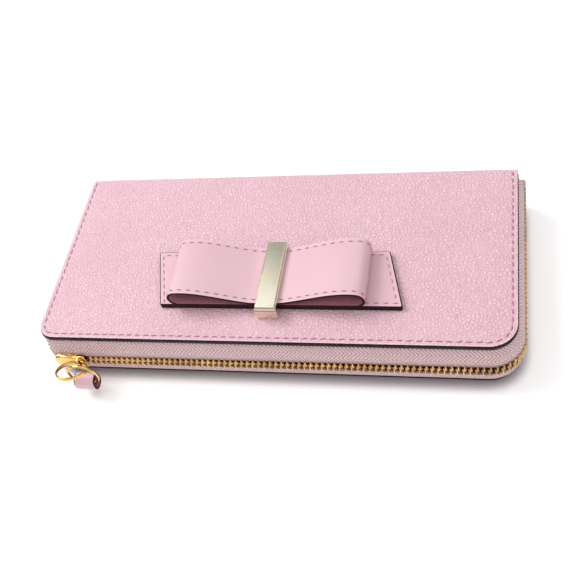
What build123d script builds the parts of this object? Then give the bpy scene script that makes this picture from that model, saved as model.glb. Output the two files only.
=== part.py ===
"""Long zip wallet with a leather bow, lying on its back cover.

Millimetres. The origin is the centre of the back cover's outer face, +X runs along the
wallet's length, +Y towards the spine and +Z up through its thickness.  The back cover is
the fixed body.  The spine tilts on the lower fold and the front cover on the upper fold.
The zip closes the front edge and the right-hand end; gussets close the compartments.
"""

import os
from math import cos, degrees, pi, radians, sin

from build123d import *

# ---- driving sizes of the closed wallet ----
LENGTH = 190.0
DEPTH = 88.0
THICKNESS = 24.0
CORNER_RIGHT = 10.5  # front corner that the zip runs round
CORNER_LEFT = 7.0
FOLD_RADIUS = 4.0  # outside radius of the two folds of the spine

# ---- sheet materials ----
LEATHER = 1.2
BOARD = 1.0
LINING = 1.0
CARD_LEATHER = 0.7
GUSSET_FABRIC = 0.5
SPINE_LINING = 0.6

# ---- zip ----
TAPE = 0.6
TAPE_FLANGE = 7.0  # width of tape glued between board and lining
CHAIN_STAND_OFF = 2.3  # the chain stands this far out from the covers' edge
TOOTH_PITCH = 2.3
TOOTH_LENGTH = 0.95
TOOTH_DEPTH = 2.2  # across the chain, from inside to outside
TOOTH_HEIGHT = 3.2
CHAIN_HEIGHT = 5.2  # both rows together
ZIP_START_MARGIN = 5.0  # from the left edge of the covers
ZIP_END_MARGIN = 0.5  # from the fold
TAPE_END_WIDTH = 6.0

# ---- zip slider ----
SLIDER_LENGTH = 14.0
SLIDER_PLATE = 0.8
SLIDER_FLANGE = 0.9
SLIDER_SIDE_GAP = 0.2  # between the chain and each plate
SLIDER_END_GAP = 0.3  # between the chain and each flange
SLIDER_TAPER = 0.7
DIAMOND_LENGTH = 3.0
DIAMOND_HEIGHT = 2.4
TEETH_AFTER_SLIDER = 0.5

# ---- pull: bail, band ring, wire ring and leather tab ----
BAIL_SHIFT = 4.4  # from the middle of the slider, towards the teeth
BAIL_LIFT = 1.2  # from the middle of the slider, towards the front cover
BAIL_WIDTH = 1.6
BAIL_WIRE = 0.9
BAIL_GAP = 1.9  # between the slider's plate and the bail
BAIL_HEIGHT = 5.0
BAND_RING_RADIUS = 6.6
BAND_RING_WALL = 0.7
BAND_RING_HEIGHT = 1.5
BAND_RING_TILT = 26.0  # degrees, outer side up
BAND_RING_LIFT = 0.6  # of the ring in the bail's hole
WIRE_RING_RADIUS = 6.2  # to the middle of the wire
WIRE_RING_TOP_GAP = 2.0  # above the band ring, inside the wire ring
WIRE = 1.1
TAB_WIDTH = 9.0
TAB_DEPTH = 6.0
TAB_HEIGHT = 7.2
TAB_LEATHER = 1.1
TAB_LIFT = 4.9  # above the surface that the wallet lies on
TAB_WIRE_GAP = 0.25
RING_LINK_SHIFT = -2.6  # of the wire ring's middle from the band's wall

# ---- interior ----
LINING_GAP = 0.3  # between the lining and the tape's flange
CARD_END_MARGIN = 11.0
CARD_BACK_MARGIN = 2.0
CARD_FRONT_MARGIN = 14.0
CARD_STEP = 12.0
CARD_ROWS = 3
GUSSET_END_MARGIN = 3.0
GUSSET_FRONT_DEPTH = 18.0
GUSSET_BACK_DEPTH = 4.0
GUSSET_FRONT_MARGIN = 7.0
GUSSET_GAP = 0.1
COIN_POCKET_THICKNESS = 4.0
COIN_POCKET_END_MARGIN = 15.0
COIN_POCKET_FRONT_MARGIN = 11.0
COIN_POCKET_WALL = 0.8
COIN_TAPE = 0.5
COIN_TAPE_WIDTH = 5.0
COIN_TEETH_DEPTH = 1.4
COIN_TEETH_END_MARGIN = 6.0  # from the pocket's end
COIN_SLIDER_LENGTH = 9.0
COIN_SLIDER_MARGIN = 14.0  # from the pocket's end to the slider's middle
COIN_SLIDER_GAP = 0.2
COIN_SLIDER_PLATE = 0.7
COIN_PULL_LENGTH = 12.0
COIN_PULL_THICKNESS = 0.8
COIN_PULL_HEIGHT = 3.0

# ---- bow on the front cover ----
BOW_X = 1.5
BOW_FRONT_MARGIN = 15.0  # from the cover's front edge
BOW_WIDTH = 26.6
TAIL_LENGTH = 97.0
TAIL_SLANT = 6.8
TAIL_THICKNESS = 2.4
BOW_LEATHER = 1.2
LOOP_SHIFT = -1.2  # of the loop's middle from the bar's
LOOP_OVERHANG = 0.5  # of the loop over the tails' front edge
LOOP_HALF_LENGTH = 39.5
LOOP_END_RADIUS = 4.2
LOOP_PINCH = 8.0  # half length over which the two layers lie together
LOOP_PINCH_OPEN = 0.3
BAR_WIDTH = 8.6
BAR_FRONT_GAP = 3.0  # between the bow's front edge and the bar's front leg
BAR_BACK_GAP = 0.2
BAR_TOP = 2.4
BAR_LEG = 1.6
BAR_BEVEL = 0.9
PRONG_WIDTH = 6.0
PRONG_THICKNESS = 0.8
PRONG_GAP = 0.1

# ---- places that follow from the sizes ----
FRONT_Y = -DEPTH / 2
SPINE_Y = DEPTH / 2
FOLD_Y = SPINE_Y - FOLD_RADIUS
RIGHT_X = LENGTH / 2
LEFT_X = -LENGTH / 2
MIDDLE_Z = THICKNESS / 2
COVER = LEATHER + BOARD
ZIP_START_X = LEFT_X + ZIP_START_MARGIN
ZIP_END_Y = FOLD_Y - ZIP_END_MARGIN
SLIDER_X = ZIP_START_X + SLIDER_LENGTH / 2
BAIL_X = SLIDER_X + BAIL_SHIFT
LINING_INSET = TAPE_FLANGE + LINING_GAP
CARD_HALF_LENGTH = RIGHT_X - CARD_END_MARGIN
CARD_BACK_Y = FOLD_Y - CARD_BACK_MARGIN
CARD_FIRST_Y = FRONT_Y + CARD_FRONT_MARGIN
GUSSET_OUTER_X = RIGHT_X - GUSSET_END_MARGIN
GUSSET_FRONT_Y = FRONT_Y + GUSSET_FRONT_MARGIN
COIN_POCKET_HALF_LENGTH = RIGHT_X - COIN_POCKET_END_MARGIN
COIN_POCKET_FRONT_Y = FRONT_Y + COIN_POCKET_FRONT_MARGIN
COIN_TEETH_HALF_LENGTH = COIN_POCKET_HALF_LENGTH - COIN_TEETH_END_MARGIN
COIN_SLIDER_X = -COIN_POCKET_HALF_LENGTH + COIN_SLIDER_MARGIN
BOW_BACK_Y = FRONT_Y + BOW_FRONT_MARGIN + BOW_WIDTH
BAR_FRONT_Y = BOW_BACK_Y - BOW_WIDTH - BAR_FRONT_GAP - BAR_LEG
BAR_LENGTH = BOW_WIDTH + BAR_FRONT_GAP + BAR_BACK_GAP + 2 * BAR_LEG
CARD_Z = COVER + LINING
COMPARTMENT_Z = CARD_Z + CARD_ROWS * CARD_LEATHER
COIN_Z = MIDDLE_Z - COIN_POCKET_THICKNESS / 2
CHAIN_Y = FRONT_Y - CHAIN_STAND_OFF
TOOTH_BASE_Z = MIDDLE_Z - CHAIN_HEIGHT / 2
CHAIN_OUTSIDE_Y = CHAIN_Y - TOOTH_DEPTH / 2
CHAIN_INSIDE_Y = CHAIN_Y + TOOTH_DEPTH / 2
PLATE_Y = CHAIN_OUTSIDE_Y - SLIDER_SIDE_GAP - SLIDER_PLATE  # the slider's outer face
BAND_PIVOT_Y = PLATE_Y - BAIL_GAP / 2
BAIL_Z = MIDDLE_Z + BAIL_LIFT
BAND_PIVOT_Z = BAIL_Z + BAND_RING_LIFT
BAND_MEAN_RADIUS = BAND_RING_RADIUS - BAND_RING_WALL / 2
BAND_CENTRE_Y = BAND_PIVOT_Y - BAND_MEAN_RADIUS * cos(radians(BAND_RING_TILT))
BAND_CENTRE_Z = BAND_PIVOT_Z + BAND_MEAN_RADIUS * sin(radians(BAND_RING_TILT))
WIRE_RING_X = BAIL_X + BAND_MEAN_RADIUS + RING_LINK_SHIFT
WIRE_RING_BOTTOM_Z = TAB_LIFT + TAB_LEATHER + TAB_WIRE_GAP + WIRE / 2
COVER_TOP = THICKNESS
LOOP_Z = COVER_TOP + TAIL_THICKNESS
PINCH_TOP_Z = LOOP_Z + 2 * BOW_LEATHER
COIN_TEETH_Y = COIN_POCKET_FRONT_Y - COIN_TEETH_DEPTH
MIRROR = Plane.XY.offset(MIDDLE_Z)


def finish(part, label):
    """Label a finished piece and write it to its own file."""
    part.label = label
    export_step(part, f"parts/{label}.step")
    return part


def upper(part):
    """The matching piece of the front cover, mirrored about the middle of the zip."""
    return mirror(part, about=MIRROR)


def cover_outline(inset, back_y):
    """Outline of a cover, square at the spine and rounded at the two front corners."""
    right, left, front = RIGHT_X - inset, LEFT_X + inset, FRONT_Y + inset
    with BuildSketch(mode=Mode.PRIVATE) as outline:
        with BuildLine():
            FilletPolyline(
                (left, back_y), (left, front), (right, front), (right, back_y),
                radius=[max(CORNER_LEFT - inset, 1.0), max(CORNER_RIGHT - inset, 1.0)],
            )
            Line((right, back_y), (left, back_y))
        make_face()
    return outline.sketch


def fold_sector(start_angle, arc):
    """Section of the folded leather about the lower fold, in the plane across the wallet."""
    centre, outside, inside = (FOLD_Y, FOLD_RADIUS), FOLD_RADIUS, FOLD_RADIUS - LEATHER
    with BuildSketch(mode=Mode.PRIVATE) as sector:
        with BuildLine():
            outer = CenterArc(centre, outside, start_angle, arc)
            inner = CenterArc(centre, inside, start_angle, arc)
            Line(outer @ 0, inner @ 0)
            Line(outer @ 1, inner @ 1)
        make_face()
    return sector.sketch


def chain_point(distance):
    """Place and heading, in degrees, of the zip chain at a distance along its path."""
    straight = RIGHT_X - CORNER_RIGHT - teeth_start_x()
    radius = CORNER_RIGHT + CHAIN_STAND_OFF
    bend = radius * pi / 2
    centre_x, centre_y = RIGHT_X - CORNER_RIGHT, FRONT_Y + CORNER_RIGHT
    if distance <= straight:
        return teeth_start_x() + distance, CHAIN_Y, 0.0
    if distance <= straight + bend:
        turn = (distance - straight) / radius
        return centre_x + radius * sin(turn), centre_y - radius * cos(turn), degrees(turn)
    return RIGHT_X + CHAIN_STAND_OFF, centre_y + distance - straight - bend, 90.0


def teeth_start_x():
    """The chain shows from the slider's closing end."""
    return SLIDER_X + SLIDER_LENGTH / 2 + TEETH_AFTER_SLIDER


def chain_length():
    """Length of chain from the slider round the corner to the spine end."""
    bend = (CORNER_RIGHT + CHAIN_STAND_OFF) * pi / 2
    return RIGHT_X - CORNER_RIGHT - teeth_start_x() + bend + ZIP_END_Y - FRONT_Y - CORNER_RIGHT


def plate(bottom, thickness, inset, back_y):
    """A flat layer of a cover."""
    with BuildPart() as layer:
        with BuildSketch(Plane.XY.offset(bottom)):
            add(cover_outline(inset, back_y))
        extrude(amount=thickness)
    return layer.part


def cover_leather():
    """Outer leather of a cover with its half of the fold."""
    with BuildPart() as leather:
        with BuildSketch():
            add(cover_outline(0, FOLD_Y))
        extrude(amount=LEATHER)
        with BuildSketch(Plane.YZ.offset(LEFT_X)):
            add(fold_sector(-90, 45))
        extrude(amount=LENGTH)
    return leather.part


def spine_leather():
    """Leather of the spine between the middles of the two folds."""
    with BuildPart() as leather:
        with BuildSketch(Plane.YZ.offset(LEFT_X)):
            add(fold_sector(-45, 45))
            with Locations((SPINE_Y - LEATHER / 2, MIDDLE_Z)):
                Rectangle(LEATHER, THICKNESS - 2 * FOLD_RADIUS)
        extrude(amount=LENGTH)
        mirror(about=MIRROR)
    return leather.part


def card_row(row):
    """One stepped row of card slots, sewn down round its back and ends."""
    front = CARD_FIRST_Y + row * CARD_STEP
    with BuildPart() as cards:
        with BuildSketch(Plane.XY.offset(CARD_Z + row * CARD_LEATHER)):
            with Locations((0, (front + CARD_BACK_Y) / 2)):
                Rectangle(2 * CARD_HALF_LENGTH, CARD_BACK_Y - front)
        extrude(amount=CARD_LEATHER)
    return cards.part


def gusset(side):
    """V-fold of fabric between the card rows and the coin pocket, deeper at the mouth."""
    low = COMPARTMENT_Z + GUSSET_GAP
    high = COIN_Z - GUSSET_GAP
    outer_x = side * GUSSET_OUTER_X
    front_x = side * (GUSSET_OUTER_X - GUSSET_FRONT_DEPTH)
    back_x = side * (GUSSET_OUTER_X - GUSSET_BACK_DEPTH)
    wall = side * GUSSET_FABRIC
    with BuildPart() as fold:
        with BuildSketch(Plane.XY.offset(low)):
            with BuildLine():
                Polyline((outer_x, GUSSET_FRONT_Y), (front_x, GUSSET_FRONT_Y),
                         (back_x, FOLD_Y), (outer_x, FOLD_Y), close=True)
            make_face()
        extrude(amount=high - low)
        with BuildSketch(Plane.XY.offset(low + GUSSET_FABRIC)):
            with BuildLine():
                Polyline((outer_x + wall, GUSSET_FRONT_Y - 1), (front_x + wall, GUSSET_FRONT_Y - 1),
                         (back_x + wall, FOLD_Y + 1), (outer_x + wall, FOLD_Y + 1), close=True)
            make_face()
        extrude(amount=high - low - 2 * GUSSET_FABRIC, mode=Mode.SUBTRACT)
    return fold.part


def zip_path():
    """Edge of the covers that the zip is sewn along."""
    with BuildLine(mode=Mode.PRIVATE) as path:
        FilletPolyline((ZIP_START_X, FRONT_Y), (RIGHT_X, FRONT_Y), (RIGHT_X, ZIP_END_Y),
                       radius=CORNER_RIGHT)
    return path.line


def zip_tape():
    """Lower tape: a flange under the lining and a wall that slopes out to the chain."""
    outside = CHAIN_STAND_OFF + TAPE / 2
    knee_z = TOOTH_BASE_Z - 1.6
    with BuildPart() as tape:
        add(zip_path())
        with BuildSketch(Plane.YZ.offset(ZIP_START_X)):
            with BuildLine():
                Polyline(
                    (FRONT_Y + TAPE_FLANGE, COVER), (FRONT_Y + 0.3, COVER),
                    (FRONT_Y - outside, knee_z), (FRONT_Y - outside, TOOTH_BASE_Z),
                    (FRONT_Y - outside + TAPE, TOOTH_BASE_Z),
                    (FRONT_Y - outside + TAPE, knee_z + 0.15),
                    (FRONT_Y + 0.3 + TAPE, COVER + TAPE), (FRONT_Y + TAPE_FLANGE, COVER + TAPE),
                    close=True,
                )
            make_face()
        sweep()
    return tape.part


def zip_teeth(first, base_z):
    """One row of teeth, spaced along the chain's path."""
    places = []
    distance = first
    while distance < chain_length():
        x, y, heading = chain_point(distance)
        places.append(Location((x, y, base_z + TOOTH_HEIGHT / 2), (0, 0, heading)))
        distance += TOOTH_PITCH
    with BuildPart() as teeth:
        with Locations(*places):
            Box(TOOTH_LENGTH, TOOTH_DEPTH, TOOTH_HEIGHT)
    return teeth.part


def tape_start():
    """Turned end of the tape: a wall round the left-hand front corner."""
    inset = 0.8
    gap = 0.2
    radius = CORNER_LEFT - inset
    with BuildPart() as end:
        with BuildSketch(Plane.XY.offset(COVER)):
            with BuildLine():
                outer = FilletPolyline(
                    (ZIP_START_X - gap, FRONT_Y + inset), (LEFT_X + inset, FRONT_Y + inset),
                    (LEFT_X + inset, FRONT_Y + CORNER_LEFT + TAPE_END_WIDTH),
                    radius=min(radius, ZIP_START_X - gap - LEFT_X - inset - 0.2),
                )
                offset(outer, amount=TAPE, side=Side.LEFT)
            make_face()
        extrude(amount=MIDDLE_Z - COVER - gap)
    return end.part


def tape_tail():
    """Folded end of the tape at the spine, a tab that closes the end of the chain."""
    gap = 0.2
    with BuildPart() as tail:
        with BuildSketch(Plane.XY.offset(COVER + FOLD_RADIUS)):
            with Locations((RIGHT_X + CHAIN_STAND_OFF - 1.5, ZIP_END_Y + gap + 1.2)):
                RectangleRounded(TAPE_END_WIDTH - 1.2, 2.4, 0.6)
        extrude(amount=MIDDLE_Z - COVER - FOLD_RADIUS - gap)
    return tail.part


def slider_outline():
    """Shield outline of the slider's plates, wider at the end where the rows part."""
    half = CHAIN_HEIGHT / 2 + SLIDER_END_GAP + SLIDER_FLANGE
    left, right = SLIDER_X - SLIDER_LENGTH / 2, SLIDER_X + SLIDER_LENGTH / 2
    with BuildSketch(mode=Mode.PRIVATE) as outline:
        with BuildLine():
            Polyline((left, MIDDLE_Z - half + 1.6), (left + 1.6, MIDDLE_Z - half),
                     (right - SLIDER_TAPER, MIDDLE_Z - half), (right, MIDDLE_Z - half + SLIDER_TAPER),
                     (right, MIDDLE_Z + half - SLIDER_TAPER), (right - SLIDER_TAPER, MIDDLE_Z + half),
                     (left + 1.6, MIDDLE_Z + half), (left, MIDDLE_Z + half - 1.6), close=True)
        make_face()
    return outline.sketch


def slider_body():
    """Two plates joined by the diamond, with flanges that leave a slit for each tape."""
    inner_y = CHAIN_INSIDE_Y + SLIDER_SIDE_GAP
    outer_y = CHAIN_OUTSIDE_Y - SLIDER_SIDE_GAP
    half = CHAIN_HEIGHT / 2 + SLIDER_END_GAP
    slit = TAPE + 0.4
    flange = (inner_y - outer_y - slit) / 2
    flange_z = [MIDDLE_Z - half - SLIDER_FLANGE / 2, MIDDLE_Z + half + SLIDER_FLANGE / 2]
    flange_length = SLIDER_LENGTH - 3.6
    with BuildPart() as body:
        with BuildSketch(Plane.XZ.offset(-outer_y)):
            add(slider_outline())
        extrude(amount=SLIDER_PLATE)
        with BuildSketch(Plane.XZ.offset(-inner_y - SLIDER_PLATE)):
            add(slider_outline())
        extrude(amount=SLIDER_PLATE)
        for z in flange_z:
            for y in (outer_y + flange / 2, inner_y - flange / 2):
                with Locations((SLIDER_X, y, z)):
                    Box(flange_length, flange, SLIDER_FLANGE)
        with Locations((SLIDER_X - SLIDER_LENGTH / 2 + DIAMOND_LENGTH / 2 + 0.6, CHAIN_Y, MIDDLE_Z)):
            Box(DIAMOND_LENGTH, inner_y - outer_y, DIAMOND_HEIGHT)
        rim = body.faces().sort_by(Axis.Y)[0].edges()
        fillet(rim, SLIDER_PLATE * 0.45)
    return body.part


def slider_bail():
    """Arch on the slider's plate that the band ring hangs in."""
    reach = BAIL_GAP + BAIL_WIRE
    with BuildPart() as bail:
        with BuildSketch(Plane.YZ.offset(BAIL_X - BAIL_WIDTH / 2)):
            with Locations((PLATE_Y - reach / 2, BAIL_Z)):
                Rectangle(reach, BAIL_HEIGHT)
            with Locations((PLATE_Y - BAIL_GAP / 2, BAIL_Z)):
                Rectangle(BAIL_GAP, BAIL_HEIGHT - 2 * BAIL_WIRE, mode=Mode.SUBTRACT)
        extrude(amount=BAIL_WIDTH)
        fillet(bail.edges().filter_by(Axis.X).group_by(Axis.Y)[0], BAIL_WIRE * 0.8)
    return bail.part


def band_ring():
    """Wide flat band ring, its outer side raised."""
    tilt = radians(BAND_RING_TILT)
    place = Plane(origin=(BAIL_X, BAND_CENTRE_Y, BAND_CENTRE_Z), x_dir=(1, 0, 0),
                  z_dir=(0, sin(tilt), cos(tilt)))
    with BuildPart() as ring:
        with BuildSketch(place):
            Circle(BAND_RING_RADIUS)
            Circle(BAND_RING_RADIUS - BAND_RING_WALL, mode=Mode.SUBTRACT)
        extrude(amount=BAND_RING_HEIGHT / 2, both=True)
        fillet(ring.edges(), BAND_RING_WALL * 0.3)
    return ring.part


def wire_ring():
    """Oval ring of round wire, standing upright through the band ring."""
    low = WIRE_RING_BOTTOM_Z + WIRE_RING_RADIUS
    top = BAND_CENTRE_Z + BAND_RING_HEIGHT / 2 + WIRE_RING_TOP_GAP + WIRE / 2
    high = top - WIRE_RING_RADIUS
    left, right = WIRE_RING_X - WIRE_RING_RADIUS, WIRE_RING_X + WIRE_RING_RADIUS
    with BuildPart() as ring:
        with BuildLine(Plane.XZ.offset(-BAND_CENTRE_Y)):
            Line((right, low), (right, high))
            CenterArc((WIRE_RING_X, high), WIRE_RING_RADIUS, 0, 180)
            Line((left, high), (left, low))
            CenterArc((WIRE_RING_X, low), WIRE_RING_RADIUS, 180, 180)
        with BuildSketch(Plane(origin=(right, BAND_CENTRE_Y, low), z_dir=(0, 0, 1))):
            Circle(WIRE / 2)
        sweep()
    return ring.part


def leather_tab():
    """Short leather loop closed round the foot of the wire ring."""
    with BuildPart() as tab:
        with BuildSketch(Plane.YZ.offset(WIRE_RING_X - TAB_WIDTH / 2)):
            with Locations((BAND_CENTRE_Y, TAB_LIFT + TAB_HEIGHT / 2)):
                RectangleRounded(TAB_DEPTH, TAB_HEIGHT, TAB_DEPTH / 2 - 0.2)
                RectangleRounded(TAB_DEPTH - 2 * TAB_LEATHER, TAB_HEIGHT - 2 * TAB_LEATHER,
                                 TAB_DEPTH / 2 - TAB_LEATHER - 0.2, mode=Mode.SUBTRACT)
        extrude(amount=TAB_WIDTH)
    return tab.part


def coin_pocket():
    """Flat pocket on the spine, open at the front where its own zip is sewn."""
    depth = SPINE_Y - LEATHER - SPINE_LINING - COIN_POCKET_FRONT_Y
    inside = COIN_POCKET_THICKNESS - 2 * COIN_POCKET_WALL
    with BuildPart() as pocket:
        with BuildSketch(Plane.XY.offset(COIN_Z)):
            with Locations((0, COIN_POCKET_FRONT_Y + depth / 2)):
                Rectangle(2 * COIN_POCKET_HALF_LENGTH, depth)
        extrude(amount=COIN_POCKET_THICKNESS)
        with Locations((0, COIN_POCKET_FRONT_Y + (depth - COIN_POCKET_WALL) / 2 - 0.5, MIDDLE_Z)):
            Box(2 * (COIN_POCKET_HALF_LENGTH - COIN_POCKET_WALL), depth - COIN_POCKET_WALL + 1, inside,
                mode=Mode.SUBTRACT)
    return pocket.part


def coin_zip_tape():
    """Two tapes inside the mouth of the coin pocket, out to its teeth."""
    inside = COIN_POCKET_THICKNESS / 2 - COIN_POCKET_WALL
    half_length = COIN_POCKET_HALF_LENGTH - COIN_POCKET_WALL - 0.2
    with BuildPart() as tapes:
        for side in (-1, 1):
            z = MIDDLE_Z + side * (inside - COIN_TAPE / 2)
            with Locations((0, COIN_POCKET_FRONT_Y + COIN_TAPE_WIDTH / 2, z)):
                Box(2 * half_length, COIN_TAPE_WIDTH, COIN_TAPE)
    return tapes.part


def coin_zip_teeth():
    """Closed chain across the mouth of the coin pocket."""
    height = COIN_POCKET_THICKNESS - 2 * COIN_POCKET_WALL
    count = int(2 * COIN_TEETH_HALF_LENGTH / TOOTH_PITCH)
    with BuildPart() as teeth:
        with Locations((0, COIN_TEETH_Y + COIN_TEETH_DEPTH / 2, MIDDLE_Z)):
            with GridLocations(TOOTH_PITCH, 1, count, 1):
                Box(TOOTH_PITCH * 0.7, COIN_TEETH_DEPTH, height)
    return teeth.part


def coin_slider():
    """Slider of the coin pocket: a plate over the chain with a flange above and below."""
    height = COIN_POCKET_THICKNESS + 2 * COIN_SLIDER_GAP
    face_y = COIN_TEETH_Y - COIN_SLIDER_GAP
    with BuildPart() as body:
        with BuildSketch(Plane.YZ.offset(COIN_SLIDER_X - COIN_SLIDER_LENGTH / 2)):
            with Locations((face_y - COIN_SLIDER_PLATE / 2, MIDDLE_Z)):
                Rectangle(COIN_SLIDER_PLATE, height)
            for side in (-1, 1):
                z = MIDDLE_Z + side * (height / 2 - COIN_SLIDER_PLATE / 2)
                with Locations((face_y + COIN_TEETH_DEPTH / 2, z)):
                    Rectangle(COIN_TEETH_DEPTH, COIN_SLIDER_PLATE)
        extrude(amount=COIN_SLIDER_LENGTH)
        lug = COIN_SLIDER_PLATE + 0.6
        with Locations((COIN_SLIDER_X, face_y - COIN_SLIDER_PLATE - lug / 2, MIDDLE_Z)):
            Box(COIN_SLIDER_LENGTH * 0.3, lug, COIN_PULL_HEIGHT * 0.5)
    return body.part


def coin_pull():
    """Flat puller plate lying along the coin pocket's slider."""
    face_y = COIN_TEETH_Y - COIN_SLIDER_GAP - COIN_SLIDER_PLATE
    start = COIN_SLIDER_X - COIN_SLIDER_LENGTH * 0.3
    with BuildPart() as pull:
        with BuildSketch(Plane.XZ.offset(-face_y + 0.2)):
            with Locations((start + COIN_PULL_LENGTH / 2, MIDDLE_Z)):
                RectangleRounded(COIN_PULL_LENGTH, COIN_PULL_HEIGHT, COIN_PULL_HEIGHT * 0.4)
            with Locations((COIN_SLIDER_X, MIDDLE_Z)):
                Rectangle(COIN_SLIDER_LENGTH * 0.3 + 0.3, COIN_PULL_HEIGHT * 0.5 + 0.3,
                          mode=Mode.SUBTRACT)
        extrude(amount=COIN_PULL_THICKNESS)
    return pull.part


def bow_tails():
    """Flat strip under the bow with both ends cut on a slant."""
    shift = TAIL_SLANT / 2
    left, right = BOW_X - TAIL_LENGTH / 2, BOW_X + TAIL_LENGTH / 2
    front = BOW_BACK_Y - BOW_WIDTH
    with BuildPart() as tails:
        with BuildSketch(Plane.XY.offset(COVER_TOP)):
            with BuildLine():
                Polyline((left - shift, BOW_BACK_Y), (left + shift, front),
                         (right + shift, front), (right - shift, BOW_BACK_Y), close=True)
            make_face()
        extrude(amount=TAIL_THICKNESS)
    return tails.part


def loop_outline(inset):
    """One end of the bow loop, its outside with no inset or its inside with the leather's."""
    radius = LOOP_END_RADIUS - inset
    turn_x = LOOP_HALF_LENGTH - LOOP_END_RADIUS
    turn_z = LOOP_Z + LOOP_END_RADIUS
    base = LOOP_Z + inset
    pinch = LOOP_PINCH if inset else 0.0
    pinch_z = base + LOOP_PINCH_OPEN if inset else PINCH_TOP_Z
    knee = LOOP_PINCH * 0.7 if not inset else LOOP_PINCH
    with BuildLine(mode=Mode.PRIVATE) as outline:
        Line((pinch, base), (turn_x, base))
        end = CenterArc((turn_x, turn_z), radius, -90, 180)
        top = Spline(end @ 1, (knee, pinch_z), tangents=[(-1, 0.12), (-1, -0.25 if inset else 0)],
                     tangent_scalars=[1.4, 0.8])
        if not inset:
            Line(top @ 1, (pinch, pinch_z))
        Line((pinch, pinch_z), (pinch, base))
    return outline.line


def bow_loop():
    """Band of leather folded into two open loops and pinched at the middle."""
    with BuildPart() as loop:
        with BuildSketch(Plane(origin=(BOW_X + LOOP_SHIFT, BOW_BACK_Y, 0), x_dir=(1, 0, 0), z_dir=(0, -1, 0))):
            with BuildLine():
                add(loop_outline(0.0))
            make_face()
            with BuildLine():
                add(loop_outline(BOW_LEATHER))
            make_face(mode=Mode.SUBTRACT)
            mirror(about=Plane.YZ)
        extrude(amount=BOW_WIDTH + LOOP_OVERHANG)
    return loop.part


def prong_places():
    """Middle of each leg of the bar, where its prong passes through the cover."""
    back_y = BAR_FRONT_Y + BAR_LENGTH
    return [(BOW_X, BAR_FRONT_Y + BAR_LEG / 2), (BOW_X, back_y - BAR_LEG / 2)]


def bow_bar():
    """Metal bar over the pinch, with a leg and a prong at each end."""
    top_z = PINCH_TOP_Z + BAR_TOP
    with BuildPart() as bar:
        with BuildSketch(Plane.YZ.offset(BOW_X - BAR_WIDTH / 2)):
            with Locations((BAR_FRONT_Y + BAR_LENGTH / 2, (COVER_TOP + top_z) / 2)):
                Rectangle(BAR_LENGTH, top_z - COVER_TOP)
            with Locations((BAR_FRONT_Y + BAR_LENGTH / 2, (COVER_TOP + PINCH_TOP_Z) / 2)):
                Rectangle(BAR_LENGTH - 2 * BAR_LEG, PINCH_TOP_Z - COVER_TOP, mode=Mode.SUBTRACT)
        extrude(amount=BAR_WIDTH)
        chamfer(bar.faces().sort_by(Axis.Z)[-1].edges(), BAR_BEVEL)
        with BuildSketch(Plane.XY.offset(COVER_TOP)):
            with Locations(*prong_places()):
                Rectangle(PRONG_WIDTH, PRONG_THICKNESS)
        extrude(amount=-COVER)
    return bar.part


def with_prong_slots(layer):
    """A layer of the front cover with the two slots for the bar's prongs."""
    with BuildPart() as slotted:
        add(layer)
        with BuildSketch(Plane.XY.offset(COVER_TOP)):
            with Locations(*prong_places()):
                Rectangle(PRONG_WIDTH + 2 * PRONG_GAP, PRONG_THICKNESS + 2 * PRONG_GAP)
        extrude(amount=-COVER, mode=Mode.SUBTRACT)
    return slotted.part


def main():
    """Build every piece and write it to its own file."""
    os.makedirs("parts", exist_ok=True)

    leather = cover_leather()
    board = plate(LEATHER, BOARD, 0, FOLD_Y - 0.5)
    lining = plate(COVER, LINING, LINING_INSET, FOLD_Y - 0.5)
    finish(leather, "back_cover_leather")
    finish(board, "back_cover_board")
    finish(lining, "back_lining")
    finish(with_prong_slots(upper(leather)), "front_cover_leather")
    finish(with_prong_slots(upper(board)), "front_cover_board")
    finish(upper(lining), "front_lining")

    for row in range(CARD_ROWS):
        cards = card_row(row)
        finish(cards, f"back_card_row_{row + 1}")
        finish(upper(cards), f"front_card_row_{row + 1}")

    for side, name in ((-1, "left"), (1, "right")):
        fold = gusset(side)
        finish(fold, f"{name}_gusset_back")
        finish(upper(fold), f"{name}_gusset_front")

    tape, start, tail = zip_tape(), tape_start(), tape_tail()
    finish(tape, "lower_zip_tape")
    finish(upper(tape), "upper_zip_tape")
    finish(start, "lower_tape_start")
    finish(upper(start), "upper_tape_start")
    finish(tail, "lower_tape_tail")
    finish(upper(tail), "upper_tape_tail")
    finish(zip_teeth(TOOTH_PITCH * 0.25, TOOTH_BASE_Z), "lower_zip_teeth")
    finish(zip_teeth(TOOTH_PITCH * 0.75, TOOTH_BASE_Z + CHAIN_HEIGHT - TOOTH_HEIGHT),
           "upper_zip_teeth")

    finish(slider_body(), "slider_body")
    finish(slider_bail(), "slider_bail")
    finish(band_ring(), "band_ring")
    finish(wire_ring(), "wire_ring")
    finish(leather_tab(), "leather_tab")

    finish(spine_leather(), "spine_leather")
    with BuildPart() as spine_lining:
        with Locations((0, SPINE_Y - LEATHER - SPINE_LINING / 2, MIDDLE_Z)):
            Box(LENGTH - 6, SPINE_LINING, THICKNESS - 2 * FOLD_RADIUS)
    finish(spine_lining.part, "spine_lining")
    finish(coin_pocket(), "coin_pocket")
    finish(coin_zip_tape(), "coin_zip_tape")
    finish(coin_zip_teeth(), "coin_zip_teeth")
    finish(coin_slider(), "coin_slider_body")
    finish(coin_pull(), "coin_slider_pull")

    finish(bow_tails(), "bow_tails")
    finish(bow_loop(), "bow_loop")
    finish(bow_bar(), "bow_bar")


main()
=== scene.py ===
"""Long zip wallet with a leather bow, lying on its back cover: its looks.

Sizes are in millimetres until a mesh is made, which is in metres.  +X runs along the wallet,
+Y towards the spine and +Z up through its thickness.
"""

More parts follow.
